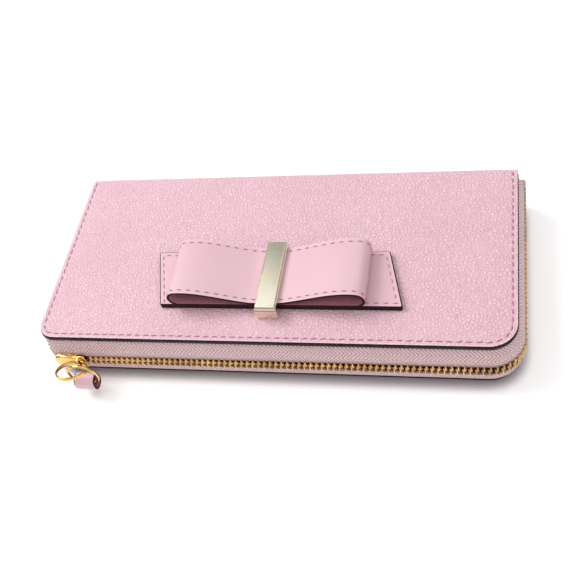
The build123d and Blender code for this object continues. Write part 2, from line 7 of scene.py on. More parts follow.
import logging
import math
from collections.abc import Callable, Sequence
from dataclasses import dataclass, field
from enum import Enum

import bmesh
import bpy
from mathutils import Matrix, Vector


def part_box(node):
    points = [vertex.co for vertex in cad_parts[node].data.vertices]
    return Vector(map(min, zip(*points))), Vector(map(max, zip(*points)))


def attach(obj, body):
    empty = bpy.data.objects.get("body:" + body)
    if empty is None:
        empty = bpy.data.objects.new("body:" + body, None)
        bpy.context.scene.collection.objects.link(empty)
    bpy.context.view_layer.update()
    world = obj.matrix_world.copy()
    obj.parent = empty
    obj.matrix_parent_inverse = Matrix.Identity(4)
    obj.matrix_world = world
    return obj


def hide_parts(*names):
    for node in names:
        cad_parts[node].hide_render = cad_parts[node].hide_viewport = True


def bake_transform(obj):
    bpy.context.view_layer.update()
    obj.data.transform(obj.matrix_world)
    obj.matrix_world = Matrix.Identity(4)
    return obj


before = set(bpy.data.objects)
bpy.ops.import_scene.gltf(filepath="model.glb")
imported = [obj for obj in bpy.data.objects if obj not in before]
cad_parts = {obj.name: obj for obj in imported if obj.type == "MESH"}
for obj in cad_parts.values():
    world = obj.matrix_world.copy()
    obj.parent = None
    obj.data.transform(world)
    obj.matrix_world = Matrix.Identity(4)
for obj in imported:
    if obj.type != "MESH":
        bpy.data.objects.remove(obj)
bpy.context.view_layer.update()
MM = 0.001
LOG = logging.getLogger("wallet")
Point = tuple[float, float, float]
Flat = tuple[float, float]
Tone = tuple[float, float, float, float]


class Side(Enum):
    """The cover that a piece belongs to, by the name of its body."""

    BACK = "back_cover"
    FRONT = "front_cover"

    def height(self, z: float, thickness: float = 24.0) -> float:
        """Height of a point given for the back cover, mirrored for the front cover."""
        return z if self is Side.BACK else thickness - z


@dataclass(frozen=True)
class Sizes:
    """Sizes of the closed wallet that more than one sub-assembly needs."""

    length: float = 190.0
    depth: float = 88.0
    thickness: float = 24.0
    corner_left: float = 7.0
    corner_right: float = 10.5
    fold_radius: float = 4.0
    leather: float = 1.2
    board: float = 1.0
    lining: float = 1.0
    card: float = 0.7
    stand_off: float = 2.3
    pitch: float = 2.3
    zip_start: float = -90.0

    @classmethod
    def from_frame(cls) -> "Sizes":
        """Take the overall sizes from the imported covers.

        Returns:
            The sizes.
        """
        low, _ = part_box("back_cover_leather")
        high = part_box("front_cover_leather")[1]
        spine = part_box("spine_leather")[1]
        return cls(
            length=2000 * high.x,
            depth=1000 * (spine.y - low.y),
            thickness=1000 * (high.z - low.z),
        )

    @property
    def right(self) -> float:
        """The right-hand edge of the covers."""
        return self.length / 2

    @property
    def left(self) -> float:
        """The left-hand edge of the covers."""
        return -self.length / 2

    @property
    def front(self) -> float:
        """The front edge of the covers."""
        return -self.depth / 2

    @property
    def fold_y(self) -> float:
        """The line where the folds of the spine start."""
        return self.depth / 2 - self.fold_radius

    @property
    def middle_z(self) -> float:
        """The middle of the zip chain."""
        return self.thickness / 2

    def cover_line(self, inset: float, back: float) -> list[Flat]:
        """Left, front and right edges of a cover as one open line.

        Args:
            inset: distance inside the edge, negative outside it.
            back: where both ends of the line stop, along Y.

        Returns:
            Points from the left end of the spine side to the right end.
        """
        left, right, front = self.left + inset, self.right - inset, self.front + inset
        near, far = max(self.corner_left - inset, 0.4), max(self.corner_right - inset, 0.4)
        points = [(left, y) for y in spread(back, front + near, 16)]
        points += arc((left + near, front + near), near, 180, 270, 12)[1:]
        points += [(x, front) for x in spread(left + near, right - far, 64)][1:]
        points += arc((right - far, front + far), far, 270, 360, 16)[1:]
        points += [(right, y) for y in spread(front + far, back, 16)][1:]
        return points

    def zip_line(self, offset: float, start: float, end_y: float) -> list[Flat]:
        """Line of the zip at a distance outside the covers' edge.

        Args:
            offset: distance outside the edge.
            start: where it starts along the front edge.
            end_y: where it ends along the right-hand edge.

        Returns:
            Points along the front, round the right-hand corner and up the end.
        """
        radius = self.corner_right + offset
        centre = (self.right - self.corner_right, self.front + self.corner_right)
        points = [(x, self.front - offset) for x in spread(start, centre[0], 90)]
        points += arc(centre, radius, 270, 360, 24)[1:]
        points += [(self.right + offset, y) for y in spread(centre[1], end_y, 40)][1:]
        return points


def spread(start: float, end: float, steps: int) -> list[float]:
    """Evenly spaced numbers from start to end, both included."""
    return [start + (end - start) * k / steps for k in range(steps + 1)]


def arc(centre: Flat, radius: float, start: float, end: float, steps: int) -> list[Flat]:
    """Points of an arc, with its angles in degrees."""
    turns = [math.radians(a) for a in spread(start, end, steps)]
    return [(centre[0] + radius * math.cos(a), centre[1] + radius * math.sin(a)) for a in turns]


def rectangle(x0: float, y0: float, x1: float, y1: float) -> list[Flat]:
    """Corners of a rectangle, anticlockwise."""
    return [(x0, y0), (x1, y0), (x1, y1), (x0, y1)]


def extent(node: str) -> tuple[float, ...]:
    """Lowest x, y and z of a CAD node and then its highest, in millimetres."""
    low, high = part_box(node)
    return tuple(c * 1000 for c in (*low, *high))


def upright(u: float, v: float, h: float) -> Point:
    """Place of a point on a plate that stands along X and Z, its height along Y."""
    return (u, h, v)


def leftward(path: Sequence[Flat]) -> list[Flat]:
    """Direction to the left of an open path.

    Left is inward where a path runs anticlockwise round the wallet, and outward where it runs clockwise.

    Args:
        path: the path's points.

    Returns:
        The direction at each point.
    """
    found = []
    for before, after in zip([path[0], *path[:-1]], [*path[1:], path[-1]]):
        heading = math.atan2(after[1] - before[1], after[0] - before[0])
        found.append((-math.sin(heading), math.cos(heading)))
    return found


def smooth(low: float, high: float, value: float) -> float:
    """Smooth step from 0 at low to 1 at high."""
    t = min(1.0, max(0.0, (value - low) / (high - low)))
    return t * t * (3 - 2 * t)


def corner_outline(
    corners: Sequence[Flat], radius: float, steps: int = 6
) -> Callable[[float], list[Flat]]:
    """Outline of a convex plate with rounded corners.

    Args:
        corners: the corners, anticlockwise.
        radius: radius of every corner.
        steps: steps of each corner's arc.

    Returns:
        A function from an inset to the closed outline's points.
    """

    def outline(inset: float) -> list[Flat]:
        """Points of the outline at that inset."""
        points: list[Flat] = []
        for k, corner in enumerate(corners):
            here = Vector(corner)
            to_last = (Vector(corners[k - 1]) - here).normalized()
            to_next = (Vector(corners[(k + 1) % len(corners)]) - here).normalized()
            half = to_last.angle(to_next) / 2
            turn = max(radius - inset, 0.03)
            centre = here + (to_last + to_next).normalized() * ((inset + turn) / math.sin(half))
            first = math.degrees(math.atan2(to_last.x, -to_last.y))
            swing = 180 - math.degrees(2 * half)
            points += arc((centre.x, centre.y), turn, first, first + swing, steps)
        return points

    return outline


class Shell:
    """Points and faces gathered in millimetres and made into one closed mesh."""

    def __init__(self) -> None:
        """Start with no points."""
        self.points: list[Point] = []
        self.insets: list[float] = []
        self.faces: list[tuple[list[int], int, list[Flat] | None]] = []

    def row(self, points: Sequence[Point], inset: float = 20.0) -> list[int]:
        """Add a row of points, with their distance from the piece's cut edge.

        Args:
            points: the points, in millimetres.
            inset: distance from the cut edge, read by the leather's finish for its painted edge
                highlight.

        Returns:
            The points' numbers.
        """
        first = len(self.points)
        self.points += [tuple(p) for p in points]
        self.insets += [inset] * len(points)
        return list(range(first, len(self.points)))

    def face(self, row: Sequence[int], slot: int = 0, uv: list[Flat] | None = None) -> None:
        """Add one face."""
        self.faces.append((list(row), slot, uv))

    def bridge(self, a: Sequence[int], b: Sequence[int], slot: int = 0, closed: bool = False) -> None:
        """Join two rows of the same length with four-sided faces.

        Args:
            a: numbers of the first row's points.
            b: numbers of the second row's points.
            slot: the faces' material number.
            closed: whether the rows are closed loops.
        """
        count = len(a) if closed else len(a) - 1
        for k in range(count):
            n = (k + 1) % len(a)
            self.face([a[k], a[n], b[n], b[k]], slot)

    def loft(
        self,
        rows: Sequence[Sequence[Point]],
        slots: Sequence[int] | int = 0,
        ring: bool = False,
        caps: bool = True,
        insets: Sequence[float] | None = None,
        lengths: tuple[Sequence[float], Sequence[float]] | None = None,
    ) -> None:
        """Join sections, each a closed loop of points, into a tube.

        Args:
            rows: the sections in order.
            slots: material number of each strip along the tube, or one for all.
            ring: whether the last section joins the first.
            caps: whether an open tube's ends are closed.
            insets: distance from the cut edge of each point of a section.
            lengths: distances along the tube and round its section, for the UV map.
        """
        made = [self.row(r) for r in rows]
        if insets is not None:
            for numbers in made:
                for n, inset in zip(numbers, insets):
                    self.insets[n] = inset
        width = len(rows[0])
        strips = [slots] * width if isinstance(slots, int) else list(slots)
        for j in range(len(made) if ring else len(made) - 1):
            a, b = made[j], made[(j + 1) % len(made)]
            for k in range(width):
                n = (k + 1) % width
                uv = None
                if lengths is not None:
                    u0, u1 = lengths[0][j], lengths[0][j + 1]
                    v0, v1 = lengths[1][k], lengths[1][k + 1]
                    uv = [(u0, v0), (u0, v1), (u1, v1), (u1, v0)]
                self.face([a[k], a[n], b[n], b[k]], strips[k], uv)
        if caps and not ring:
            self.face(made[0], strips[0])
            self.face(made[-1], strips[0])

    def stack(
        self,
        outline: Callable[[float], list[Flat]],
        levels: Sequence[Flat],
        place: Callable[[float, float, float], Point] = lambda u, v, h: (u, v, h),
        slots: Sequence[int] | int = 0,
    ) -> None:
        """Build a plate from outlines at several heights, closed at both ends.

        Args:
            outline: function from an inset to a closed outline.
            levels: (inset, height) of each outline, in order.
            place: function from outline and height to the point in space.
            slots: material number of each band between two outlines, or one for all.
        """
        bands = [slots] * (len(levels) - 1) if isinstance(slots, int) else list(slots)
        rows = [
            self.row([place(u, v, height) for u, v in outline(inset)], max(inset, 0.0))
            for inset, height in levels
        ]
        for k, band in enumerate(bands):
            self.bridge(rows[k], rows[k + 1], band, closed=True)
        self.face(rows[0], bands[0])
        self.face(rows[-1], bands[-1])

    def build(
        self, name: str, materials: Sequence[bpy.types.Material], sharp: float = 38.0
    ) -> bpy.types.Object:
        """Make the mesh and its object.

        Args:
            name: the piece's name.
            materials: its materials, in the order of the material numbers.
            sharp: angle in degrees past which an edge looks sharp.

        Returns:
            The object, at the origin.
        """
        mesh = bpy.data.meshes.new(name)
        mesh.from_pydata([[c * MM for c in p] for p in self.points], [], [f[0] for f in self.faces])
        for material in materials:
            mesh.materials.append(material)
        mesh.polygons.foreach_set("material_index", [f[1] for f in self.faces])
        mesh.polygons.foreach_set("use_smooth", [True] * len(self.faces))
        if any(f[2] for f in self.faces):
            layer = mesh.uv_layers.new(name="UVMap")
            at = 0
            for numbers, _, uv in self.faces:
                for k in range(len(numbers)):
                    layer.data[at].uv = tuple(c / 100 for c in uv[k]) if uv else (0.0, 0.0)
                    at += 1
        edge = mesh.attributes.new("edge_distance", "FLOAT", "POINT")
        edge.data.foreach_set("value", [float(v) for v in self.insets])
        work = bmesh.new()
        work.from_mesh(mesh)
        bmesh.ops.recalc_face_normals(work, faces=work.faces)
        work.to_mesh(mesh)
        work.free()
        mesh.set_sharp_from_angle(angle=math.radians(sharp))
        made = bpy.data.objects.new(name, mesh)
        bpy.context.scene.collection.objects.link(made)
        return made


def settle(piece: bpy.types.Object, body: str, stands_for: Sequence[str] = ()) -> None:
    """Attach a finished piece to its body and report it.

    Args:
        piece: the finished piece.
        body: the body it rides on.
        stands_for: CAD nodes that it is shown for.
    """
    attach(piece, body)
    if stands_for:
        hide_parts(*stands_for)
    LOG.info("%s on %s, %d faces", piece.name, body, len(piece.data.polygons))


def settle_bend(
    piece: bpy.types.Object,
    bodies: tuple[str, str],
    start: Point,
    end: Point,
    stands_for: Sequence[str] = (),
) -> None:
    """Bake a finished piece's transform into its mesh, hide the CAD nodes it is shown for and report it.

    Args:
        piece: the finished piece.
        bodies: the body before start and the body after end.
        start: point in millimetres up to which it would follow the first body; not used.
        end: point in millimetres from which it would follow the second body; not used.
        stands_for: CAD nodes that it is shown for.
    """
    first, last = [tuple(c * MM for c in p) for p in (start, end)]
    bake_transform(piece)
    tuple(first)
    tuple(last)
    if stands_for:
        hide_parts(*stands_for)
    LOG.info("%s between %s and %s", piece.name, *bodies)


# ---------------------------------------------------------------- finishes


def tone(red: float, green: float, blue: float) -> Tone:
    """Linear colour of an sRGB colour.

    Args:
        red: red from 0 to 255.
        green: green from 0 to 255.
        blue: blue from 0 to 255.

    Returns:
        The colour with its alpha.
    """

    def linear(value: float) -> float:
        """One channel."""
        value /= 255
        return value / 12.92 if value <= 0.04045 else ((value + 0.055) / 1.055) ** 2.4

    return (linear(red), linear(green), linear(blue), 1.0)


class Graph:
    """A node tree with short calls for nodes and links."""

    def __init__(self, tree: bpy.types.NodeTree) -> None:
        """Keep the tree."""
        self.tree = tree

    def add(self, kind: str, inputs: dict | None = None, **settings: object) -> bpy.types.Node:
        """Add a node.

        Args:
            kind: the node's type name.
            inputs: value or socket for each input, by name or number.
            settings: the node's own properties.

        Returns:
            The node.
        """
        node = self.tree.nodes.new(kind)
        for key, value in settings.items():
            setattr(node, key, value)
        self.feed(node, inputs or {})
        return node

    def feed(self, node: bpy.types.Node, inputs: dict) -> None:
        """Set or link a node's inputs.

        Args:
            node: the node.
            inputs: value or socket for each input, by name or number.
        """
        for key, value in inputs.items():
            if isinstance(value, bpy.types.NodeSocket):
                self.tree.links.new(value, node.inputs[key])
            else:
                node.inputs[key].default_value = value

    def math(self, operation: str, a: object, b: object = 0.0) -> bpy.types.NodeSocket:
        """Result of a Math node."""
        return self.add("ShaderNodeMath", {0: a, 1: b}, operation=operation).outputs[0]

    def blend(self, share: object, a: object, b: object) -> bpy.types.NodeSocket:
        """Colour between a and b."""
        return self.add("ShaderNodeMix", {0: share, 6: a, 7: b}, data_type="RGBA").outputs[2]

    def remap(
        self, value: object, low: float, high: float, to_low: float = 0.0, to_high: float = 1.0
    ) -> bpy.types.NodeSocket:
        """Value mapped smoothly from one range to another.

        Args:
            value: the socket to map.
            low: value that becomes to_low.
            high: value that becomes to_high.
            to_low: what the range starts from.
            to_high: what the range goes up to.

        Returns:
            The socket with the mapped value.
        """
        sizes = {"Value": value, "From Min": low, "From Max": high, "To Min": to_low, "To Max": to_high}
        return self.add("ShaderNodeMapRange", sizes, interpolation_type="SMOOTHSTEP").outputs[0]

    def noise(self, where: object, scale: object, detail: float = 3.0) -> bpy.types.NodeSocket:
        """Noise between 0 and 1."""
        sizes = {"Vector": where, "Scale": scale, "Detail": detail, "Roughness": 0.5}
        return self.add("ShaderNodeTexNoise", sizes).outputs[0]

    def shift(self, operation: str, vector: object, by: object) -> bpy.types.NodeSocket:
        """Result of a Vector Math node, where SCALE takes a number and the others a vector."""
        key = "Scale" if operation == "SCALE" else 1
        return self.add("ShaderNodeVectorMath", {0: vector, key: by}, operation=operation).outputs[0]


def new_group(
    name: str, inputs: dict[str, float], outputs: Sequence[str]
) -> tuple[Graph, dict, bpy.types.Node]:
    """Start a shader node group.

    Args:
        name: the group's name.
        inputs: its inputs with their usual values.
        outputs: its outputs, all plain values.

    Returns:
        The group's graph, its input sockets by name and its output node.
    """
    tree = bpy.data.node_groups.new(name, "ShaderNodeTree")
    for key, value in inputs.items():
        socket = tree.interface.new_socket(name=key, in_out="INPUT", socket_type="NodeSocketFloat")
        socket.default_value = value
    for key in outputs:
        tree.interface.new_socket(name=key, in_out="OUTPUT", socket_type="NodeSocketFloat")
    graph = Graph(tree)
    entry, leave = graph.add("NodeGroupInput"), graph.add("NodeGroupOutput")
    return graph, {k: entry.outputs[k] for k in inputs}, leave


class Effects:
    """Node groups that several finishes share, each built once."""

    def __init__(self) -> None:
        """Build the groups."""
        self.grain = self._grain()
        self.weave = self._weave()
        self.cloth = self._cloth()
        self.wear = self._wear()

    @staticmethod
    def _grain() -> bpy.types.NodeTree:
        """Pebbled leather: rounded cells parted by creases, with fine pores and mottling.

        Returns:
            The node group.
        """
        graph, given, leave = new_group(
            "leather_grain", {"Cell": 1.1, "Pebble": 1.0, "Pore": 0.2}, ("Height", "Crease", "Mottle")
        )
        where = graph.add("ShaderNodeTexCoord").outputs["Object"]
        scale = graph.math("DIVIDE", 1000.0, given["Cell"])
        drift = graph.add(
            "ShaderNodeTexNoise", {"Vector": where, "Scale": 420.0, "Detail": 2.0}
        ).outputs["Color"]
        push = graph.shift("SCALE", graph.shift("SUBTRACT", drift, (0.5, 0.5, 0.5)), 0.0011)
        bent = graph.shift("ADD", where, push)
        cells = graph.add(
            "ShaderNodeTexVoronoi", {"Vector": bent, "Scale": scale}, feature="DISTANCE_TO_EDGE"
        ).outputs["Distance"]
        dome = graph.remap(cells, 0.0, 0.34)
        pores = graph.noise(where, 2600.0, 2.0)
        lumps = graph.noise(where, 260.0, 2.0)
        height = graph.math("MULTIPLY", dome, given["Pebble"])
        height = graph.math("ADD", height, graph.math("MULTIPLY", pores, given["Pore"]))
        swell = graph.math("MULTIPLY", lumps, graph.math("MULTIPLY", given["Pebble"], 0.7))
        height = graph.math("ADD", height, swell)
        crease = graph.math("MULTIPLY", graph.math("SUBTRACT", 1.0, dome), given["Pebble"])
        mottle = graph.noise(where, 34.0, 4.0)
        graph.feed(leave, {"Height": height, "Crease": crease, "Mottle": mottle})
        return graph.tree

    @staticmethod
    def _weave() -> bpy.types.NodeTree:
        """Herringbone tape: diagonal ribs that turn back at each band, read from the UV map.

        Returns:
            The node group.
        """
        graph, given, leave = new_group(
            "tape_weave", {"Band": 2.1, "Rib": 1.15}, ("Height", "Rib Mask", "Fibre")
        )
        where = graph.add("ShaderNodeUVMap", uv_map="UVMap").outputs[0]
        scaled = graph.shift("SCALE", where, 100.0)
        parts = graph.add("ShaderNodeSeparateXYZ", {0: scaled})
        turn = graph.math("PINGPONG", parts.outputs[1], given["Band"])
        slanted = graph.math("ADD", parts.outputs[0], graph.math("MULTIPLY", turn, 1.1))
        turns = graph.math("DIVIDE", slanted, given["Rib"])
        wave = graph.math("SINE", graph.math("MULTIPLY", turns, 2 * math.pi))
        rib = graph.remap(wave, -0.7, 0.8)
        fibre = graph.noise(scaled, 5.5, 3.0)
        height = graph.math("ADD", rib, graph.math("MULTIPLY", fibre, 0.5))
        height = graph.math("ADD", height, graph.math("MULTIPLY", turn, 0.03))
        graph.feed(leave, {"Height": height, "Rib Mask": rib, "Fibre": fibre})
        return graph.tree

    @staticmethod
    def _cloth() -> bpy.types.NodeTree:
        """Plain woven cloth: threads over and under, with slubs.

        Returns:
            The node group.
        """
        graph, given, leave = new_group("plain_cloth", {"Thread": 0.42}, ("Height", "Over", "Slub"))
        where = graph.add("ShaderNodeTexCoord").outputs["Object"]
        parts = graph.add("ShaderNodeSeparateXYZ", {0: where})
        rate = graph.math("DIVIDE", 1000.0 * math.pi, given["Thread"])
        across = graph.math("SINE", graph.math("MULTIPLY", parts.outputs[0], rate))
        along = graph.math("ADD", parts.outputs[1], parts.outputs[2])
        up = graph.math("SINE", graph.math("MULTIPLY", along, rate))
        over = graph.remap(graph.math("MULTIPLY", across, up), -1.0, 1.0)
        slub = graph.noise(where, 700.0, 3.0)
        height = graph.math("ADD", over, graph.math("MULTIPLY", slub, 0.6))
        graph.feed(leave, {"Height": height, "Over": over, "Slub": slub})
        return graph.tree

    @staticmethod
    def _wear() -> bpy.types.NodeTree:
        """Handling marks: soft smudges and fine scratches.

        Returns:
            The node group.
        """
        graph, given, leave = new_group(
            "handling_wear", {"Smudge": 90.0, "Scratch": 1.0}, ("Smear", "Scratches")
        )
        where = graph.add("ShaderNodeTexCoord").outputs["Object"]
        smear = graph.remap(graph.noise(where, given["Smudge"], 3.0), 0.35, 0.7)
        turned = graph.add(
            "ShaderNodeMapping",
            {"Vector": where, "Rotation": (0.3, 0.2, 0.5), "Scale": (260.0, 3800.0, 2600.0)},
        ).outputs[0]
        marks = graph.remap(graph.noise(turned, 1.0, 2.0), 0.6, 0.75)
        lines = graph.math("MULTIPLY", marks, given["Scratch"])
        graph.feed(leave, {"Smear": smear, "Scratches": lines})
        return graph.tree


def start_material(name: str) -> tuple[bpy.types.Material, Graph, bpy.types.Node]:
    """Start a material.

    Args:
        name: the material's name.

    Returns:
        The material, its graph and its shader node.
    """
    material = bpy.data.materials.new(name)
    material.use_nodes = True
    return material, Graph(material.node_tree), material.node_tree.nodes["Principled BSDF"]


def call(graph: Graph, group: bpy.types.NodeTree, **values: float) -> bpy.types.Node:
    """Place a node group in a material.

    Args:
        graph: the material's graph.
        group: the node group.
        values: this material's own value for each of the group's inputs.

    Returns:
        The group's node.
    """
    node = graph.add("ShaderNodeGroup", node_tree=group)
    graph.feed(node, values)
    return node


def relief(graph: Graph, shader: bpy.types.Node, height: object, depth: float) -> None:
    """Feed a height from 0 to 1, times a depth in metres, to the shader as a bump."""
    bump = graph.add("ShaderNodeBump", {"Height": height, "Distance": depth, "Strength": 1.0})
    graph.feed(shader, {"Normal": bump.outputs[0]})


@dataclass(frozen=True)
class LeatherFinish:
    """Dyed leather with a grain and a painted highlight: a paler tone where it rolls over a cut edge."""

    name: str
    base: Tone
    crease: Tone
    # The edge tone is a painted highlight near the cut edge.
    edge: Tone
    cell: float = 1.1
    pebble: float = 1.0
    pore: float = 0.2
    depth: float = 0.00022
    roughness: float = 0.5

    def make(self, effects: Effects) -> bpy.types.Material:
        """Build the material.

        Args:
            effects: the shared node groups.

        Returns:
            The material.
        """
        material, graph, shader = start_material(self.name)
        grain = call(graph, effects.grain, Cell=self.cell, Pebble=self.pebble, Pore=self.pore)
        creased = graph.remap(grain.outputs["Crease"], 0.25, 1.0, 0.0, 0.6)
        colour = graph.blend(creased, self.base, self.crease)
        mottled = graph.remap(grain.outputs["Mottle"], 0.3, 0.7, 0.0, 0.22)
        colour = graph.blend(mottled, colour, self.crease)
        # Painted highlight: within about a millimetre of the cut edge the colour turns towards the paler
        # edge tone.
        distance = graph.add("ShaderNodeAttribute", attribute_name="edge_distance").outputs["Fac"]
        painted_edge_highlight = graph.remap(distance, 0.15, 1.2, 0.6, 0.0)
        colour = graph.blend(painted_edge_highlight, colour, self.edge)
        low, high = self.roughness - 0.06, self.roughness + 0.08
        rough = graph.remap(grain.outputs["Mottle"], 0.2, 0.8, low, high)
        graph.feed(shader, {"Base Color": colour, "Roughness": rough, "Specular IOR Level": 0.42})
        graph.feed(shader, {"Coat Weight": 0.06, "Coat Roughness": 0.35})
        relief(graph, shader, grain.outputs["Height"], self.depth)
        return material


@dataclass(frozen=True)
class PaintFinish:
    """Thick edge paint, or another smooth coat, with a slightly uneven surface."""

    name: str
    base: Tone
    worn: Tone
    roughness: float = 0.3

    def make(self, effects: Effects) -> bpy.types.Material:
        """Build the material.

        Args:
            effects: the shared node groups.

        Returns:
            The material.
        """
        material, graph, shader = start_material(self.name)
        wear = call(graph, effects.wear, Smudge=240.0, Scratch=0.4)
        colour = graph.blend(graph.math("MULTIPLY", wear.outputs["Smear"], 0.5), self.base, self.worn)
        rough = graph.remap(wear.outputs["Smear"], 0.0, 1.0, self.roughness, self.roughness + 0.18)
        graph.feed(shader, {"Base Color": colour, "Roughness": rough, "Specular IOR Level": 0.25})
        relief(graph, shader, wear.outputs["Smear"], 0.00005)
        return material


@dataclass(frozen=True)
class TapeFinish:
    """Herringbone zip tape."""

    name: str
    base: Tone
    shade: Tone
    band: float = 2.4
    rib: float = 1.55

    def make(self, effects: Effects) -> bpy.types.Material:
        """Build the material.

        Args:
            effects: the shared node groups.

        Returns:
            The material.
        """
        material, graph, shader = start_material(self.name)
        weave = call(graph, effects.weave, Band=self.band, Rib=self.rib)
        colour = graph.blend(weave.outputs["Rib Mask"], self.shade, self.base)
        fuzz = graph.remap(weave.outputs["Fibre"], 0.35, 0.7, 0.0, 0.3)
        colour = graph.blend(fuzz, colour, self.shade)
        graph.feed(shader, {"Base Color": colour, "Roughness": 0.72})
        graph.feed(shader, {"Sheen Weight": 0.35, "Sheen Roughness": 0.4})
        relief(graph, shader, weave.outputs["Height"], 0.0003)
        return material


@dataclass(frozen=True)
class ClothFinish:
    """Plain woven lining or sewing thread."""

    name: str
    base: Tone
    shade: Tone
    thread: float = 0.42
    roughness: float = 0.75
    depth: float = 0.00009

    def make(self, effects: Effects) -> bpy.types.Material:
        """Build the material.

        Args:
            effects: the shared node groups.

        Returns:
            The material.
        """
        material, graph, shader = start_material(self.name)
        cloth = call(graph, effects.cloth, Thread=self.thread)
        colour = graph.blend(cloth.outputs["Over"], self.shade, self.base)
        slubs = graph.remap(cloth.outputs["Slub"], 0.4, 0.75, 0.0, 0.35)
        colour = graph.blend(slubs, colour, self.shade)
        low, high = self.roughness - 0.08, self.roughness + 0.1
        rough = graph.remap(cloth.outputs["Slub"], 0.0, 1.0, low, high)
        graph.feed(shader, {"Base Color": colour, "Roughness": rough, "Sheen Weight": 0.25})
        relief(graph, shader, cloth.outputs["Height"], self.depth)
        return material


@dataclass(frozen=True)
class MetalFinish:
    """Plated metal with smudges and fine scratches."""

    name: str
    base: Tone
    worn: Tone
    roughness: float = 0.16
    scratch: float = 1.0

    def make(self, effects: Effects) -> bpy.types.Material:
        """Build the material.

        Args:
            effects: the shared node groups.

        Returns:
            The material.
        """
        material, graph, shader = start_material(self.name)
        wear = call(graph, effects.wear, Smudge=130.0, Scratch=self.scratch)
        colour = graph.blend(graph.math("MULTIPLY", wear.outputs["Smear"], 0.6), self.base, self.worn)
        rough = graph.remap(wear.outputs["Smear"], 0.0, 1.0, self.roughness, self.roughness + 0.1)
        rough = graph.math("ADD", rough, graph.math("MULTIPLY", wear.outputs["Scratches"], 0.12))
        graph.feed(shader, {"Base Color": colour, "Metallic": 1.0, "Roughness": rough})
        relief(graph, shader, wear.outputs["Scratches"], 0.000012)
        return material


class Finishes:
    """Every finish of the wallet, each made once."""

    def __init__(self) -> None:
        """Make the materials."""
        effects = Effects()
        # Each leather's third tone is its painted edge highlight.
        self.pebbled = LeatherFinish(
            "leather_pebbled", tone(238, 201, 212), tone(220, 172, 186), tone(250, 216, 226),
            cell=1.45, depth=0.00028, roughness=0.56,
        ).make(effects)
        self.smooth = LeatherFinish(
            "leather_smooth", tone(222, 184, 194), tone(212, 170, 181), tone(232, 196, 207),
            cell=0.6, pebble=0.12, pore=0.5, depth=0.00006, roughness=0.5,
        ).make(effects)
        self.card = LeatherFinish(
            "card_leather", tone(226, 176, 190), tone(205, 150, 167), tone(240, 200, 212),
            cell=0.5, pebble=0.2, pore=0.4, depth=0.00005, roughness=0.5,
        ).make(effects)
        # Inner faces of the bow's loop and the tab: the flesh side's own rose tone, darkened further as
        # painted shade.
        self.flesh_side_with_painted_shade = ClothFinish(
            "leather_flesh_side_painted_shade", tone(206, 140, 158), tone(164, 102, 120), thread=0.3, roughness=0.85
        ).make(effects)
        self.paint = PaintFinish(
            "edge_paint", tone(26, 6, 13), tone(44, 14, 24), roughness=0.5
        ).make(effects)
        self.lining = ClothFinish("lining_cloth", tone(176, 138, 148), tone(138, 98, 110)).make(effects)
        self.gusset = ClothFinish("gusset_cloth", tone(186, 152, 158), tone(150, 116, 124)).make(effects)
        self.tape = TapeFinish("zip_tape", tone(252, 218, 221), tone(204, 166, 171)).make(effects)
        self.cord = ClothFinish(
            "tape_cord", tone(216, 190, 182), tone(150, 122, 110), thread=0.5, roughness=0.7
        ).make(effects)
        self.thread = ClothFinish(
            "sewing_thread", tone(196, 128, 148), tone(150, 86, 106), thread=0.25, roughness=0.5
        ).make(effects)
        self.dark_thread = ClothFinish(
            "root_thread", tone(150, 112, 92), tone(104, 72, 58), thread=0.25, roughness=0.7
        ).make(effects)
        self.teeth = MetalFinish(
            "zip_teeth", tone(232, 192, 132), tone(160, 118, 72), roughness=0.24
        ).make(effects)
        self.gold = MetalFinish(
            "gold_hardware", tone(232, 196, 124), tone(206, 158, 84), roughness=0.09
        ).make(effects)
        self.bar = MetalFinish(
            "gold_bar", tone(240, 236, 214), tone(234, 222, 190), roughness=0.1, scratch=0.35
        ).make(effects)


# ------------------------------------------------------- repeated pieces


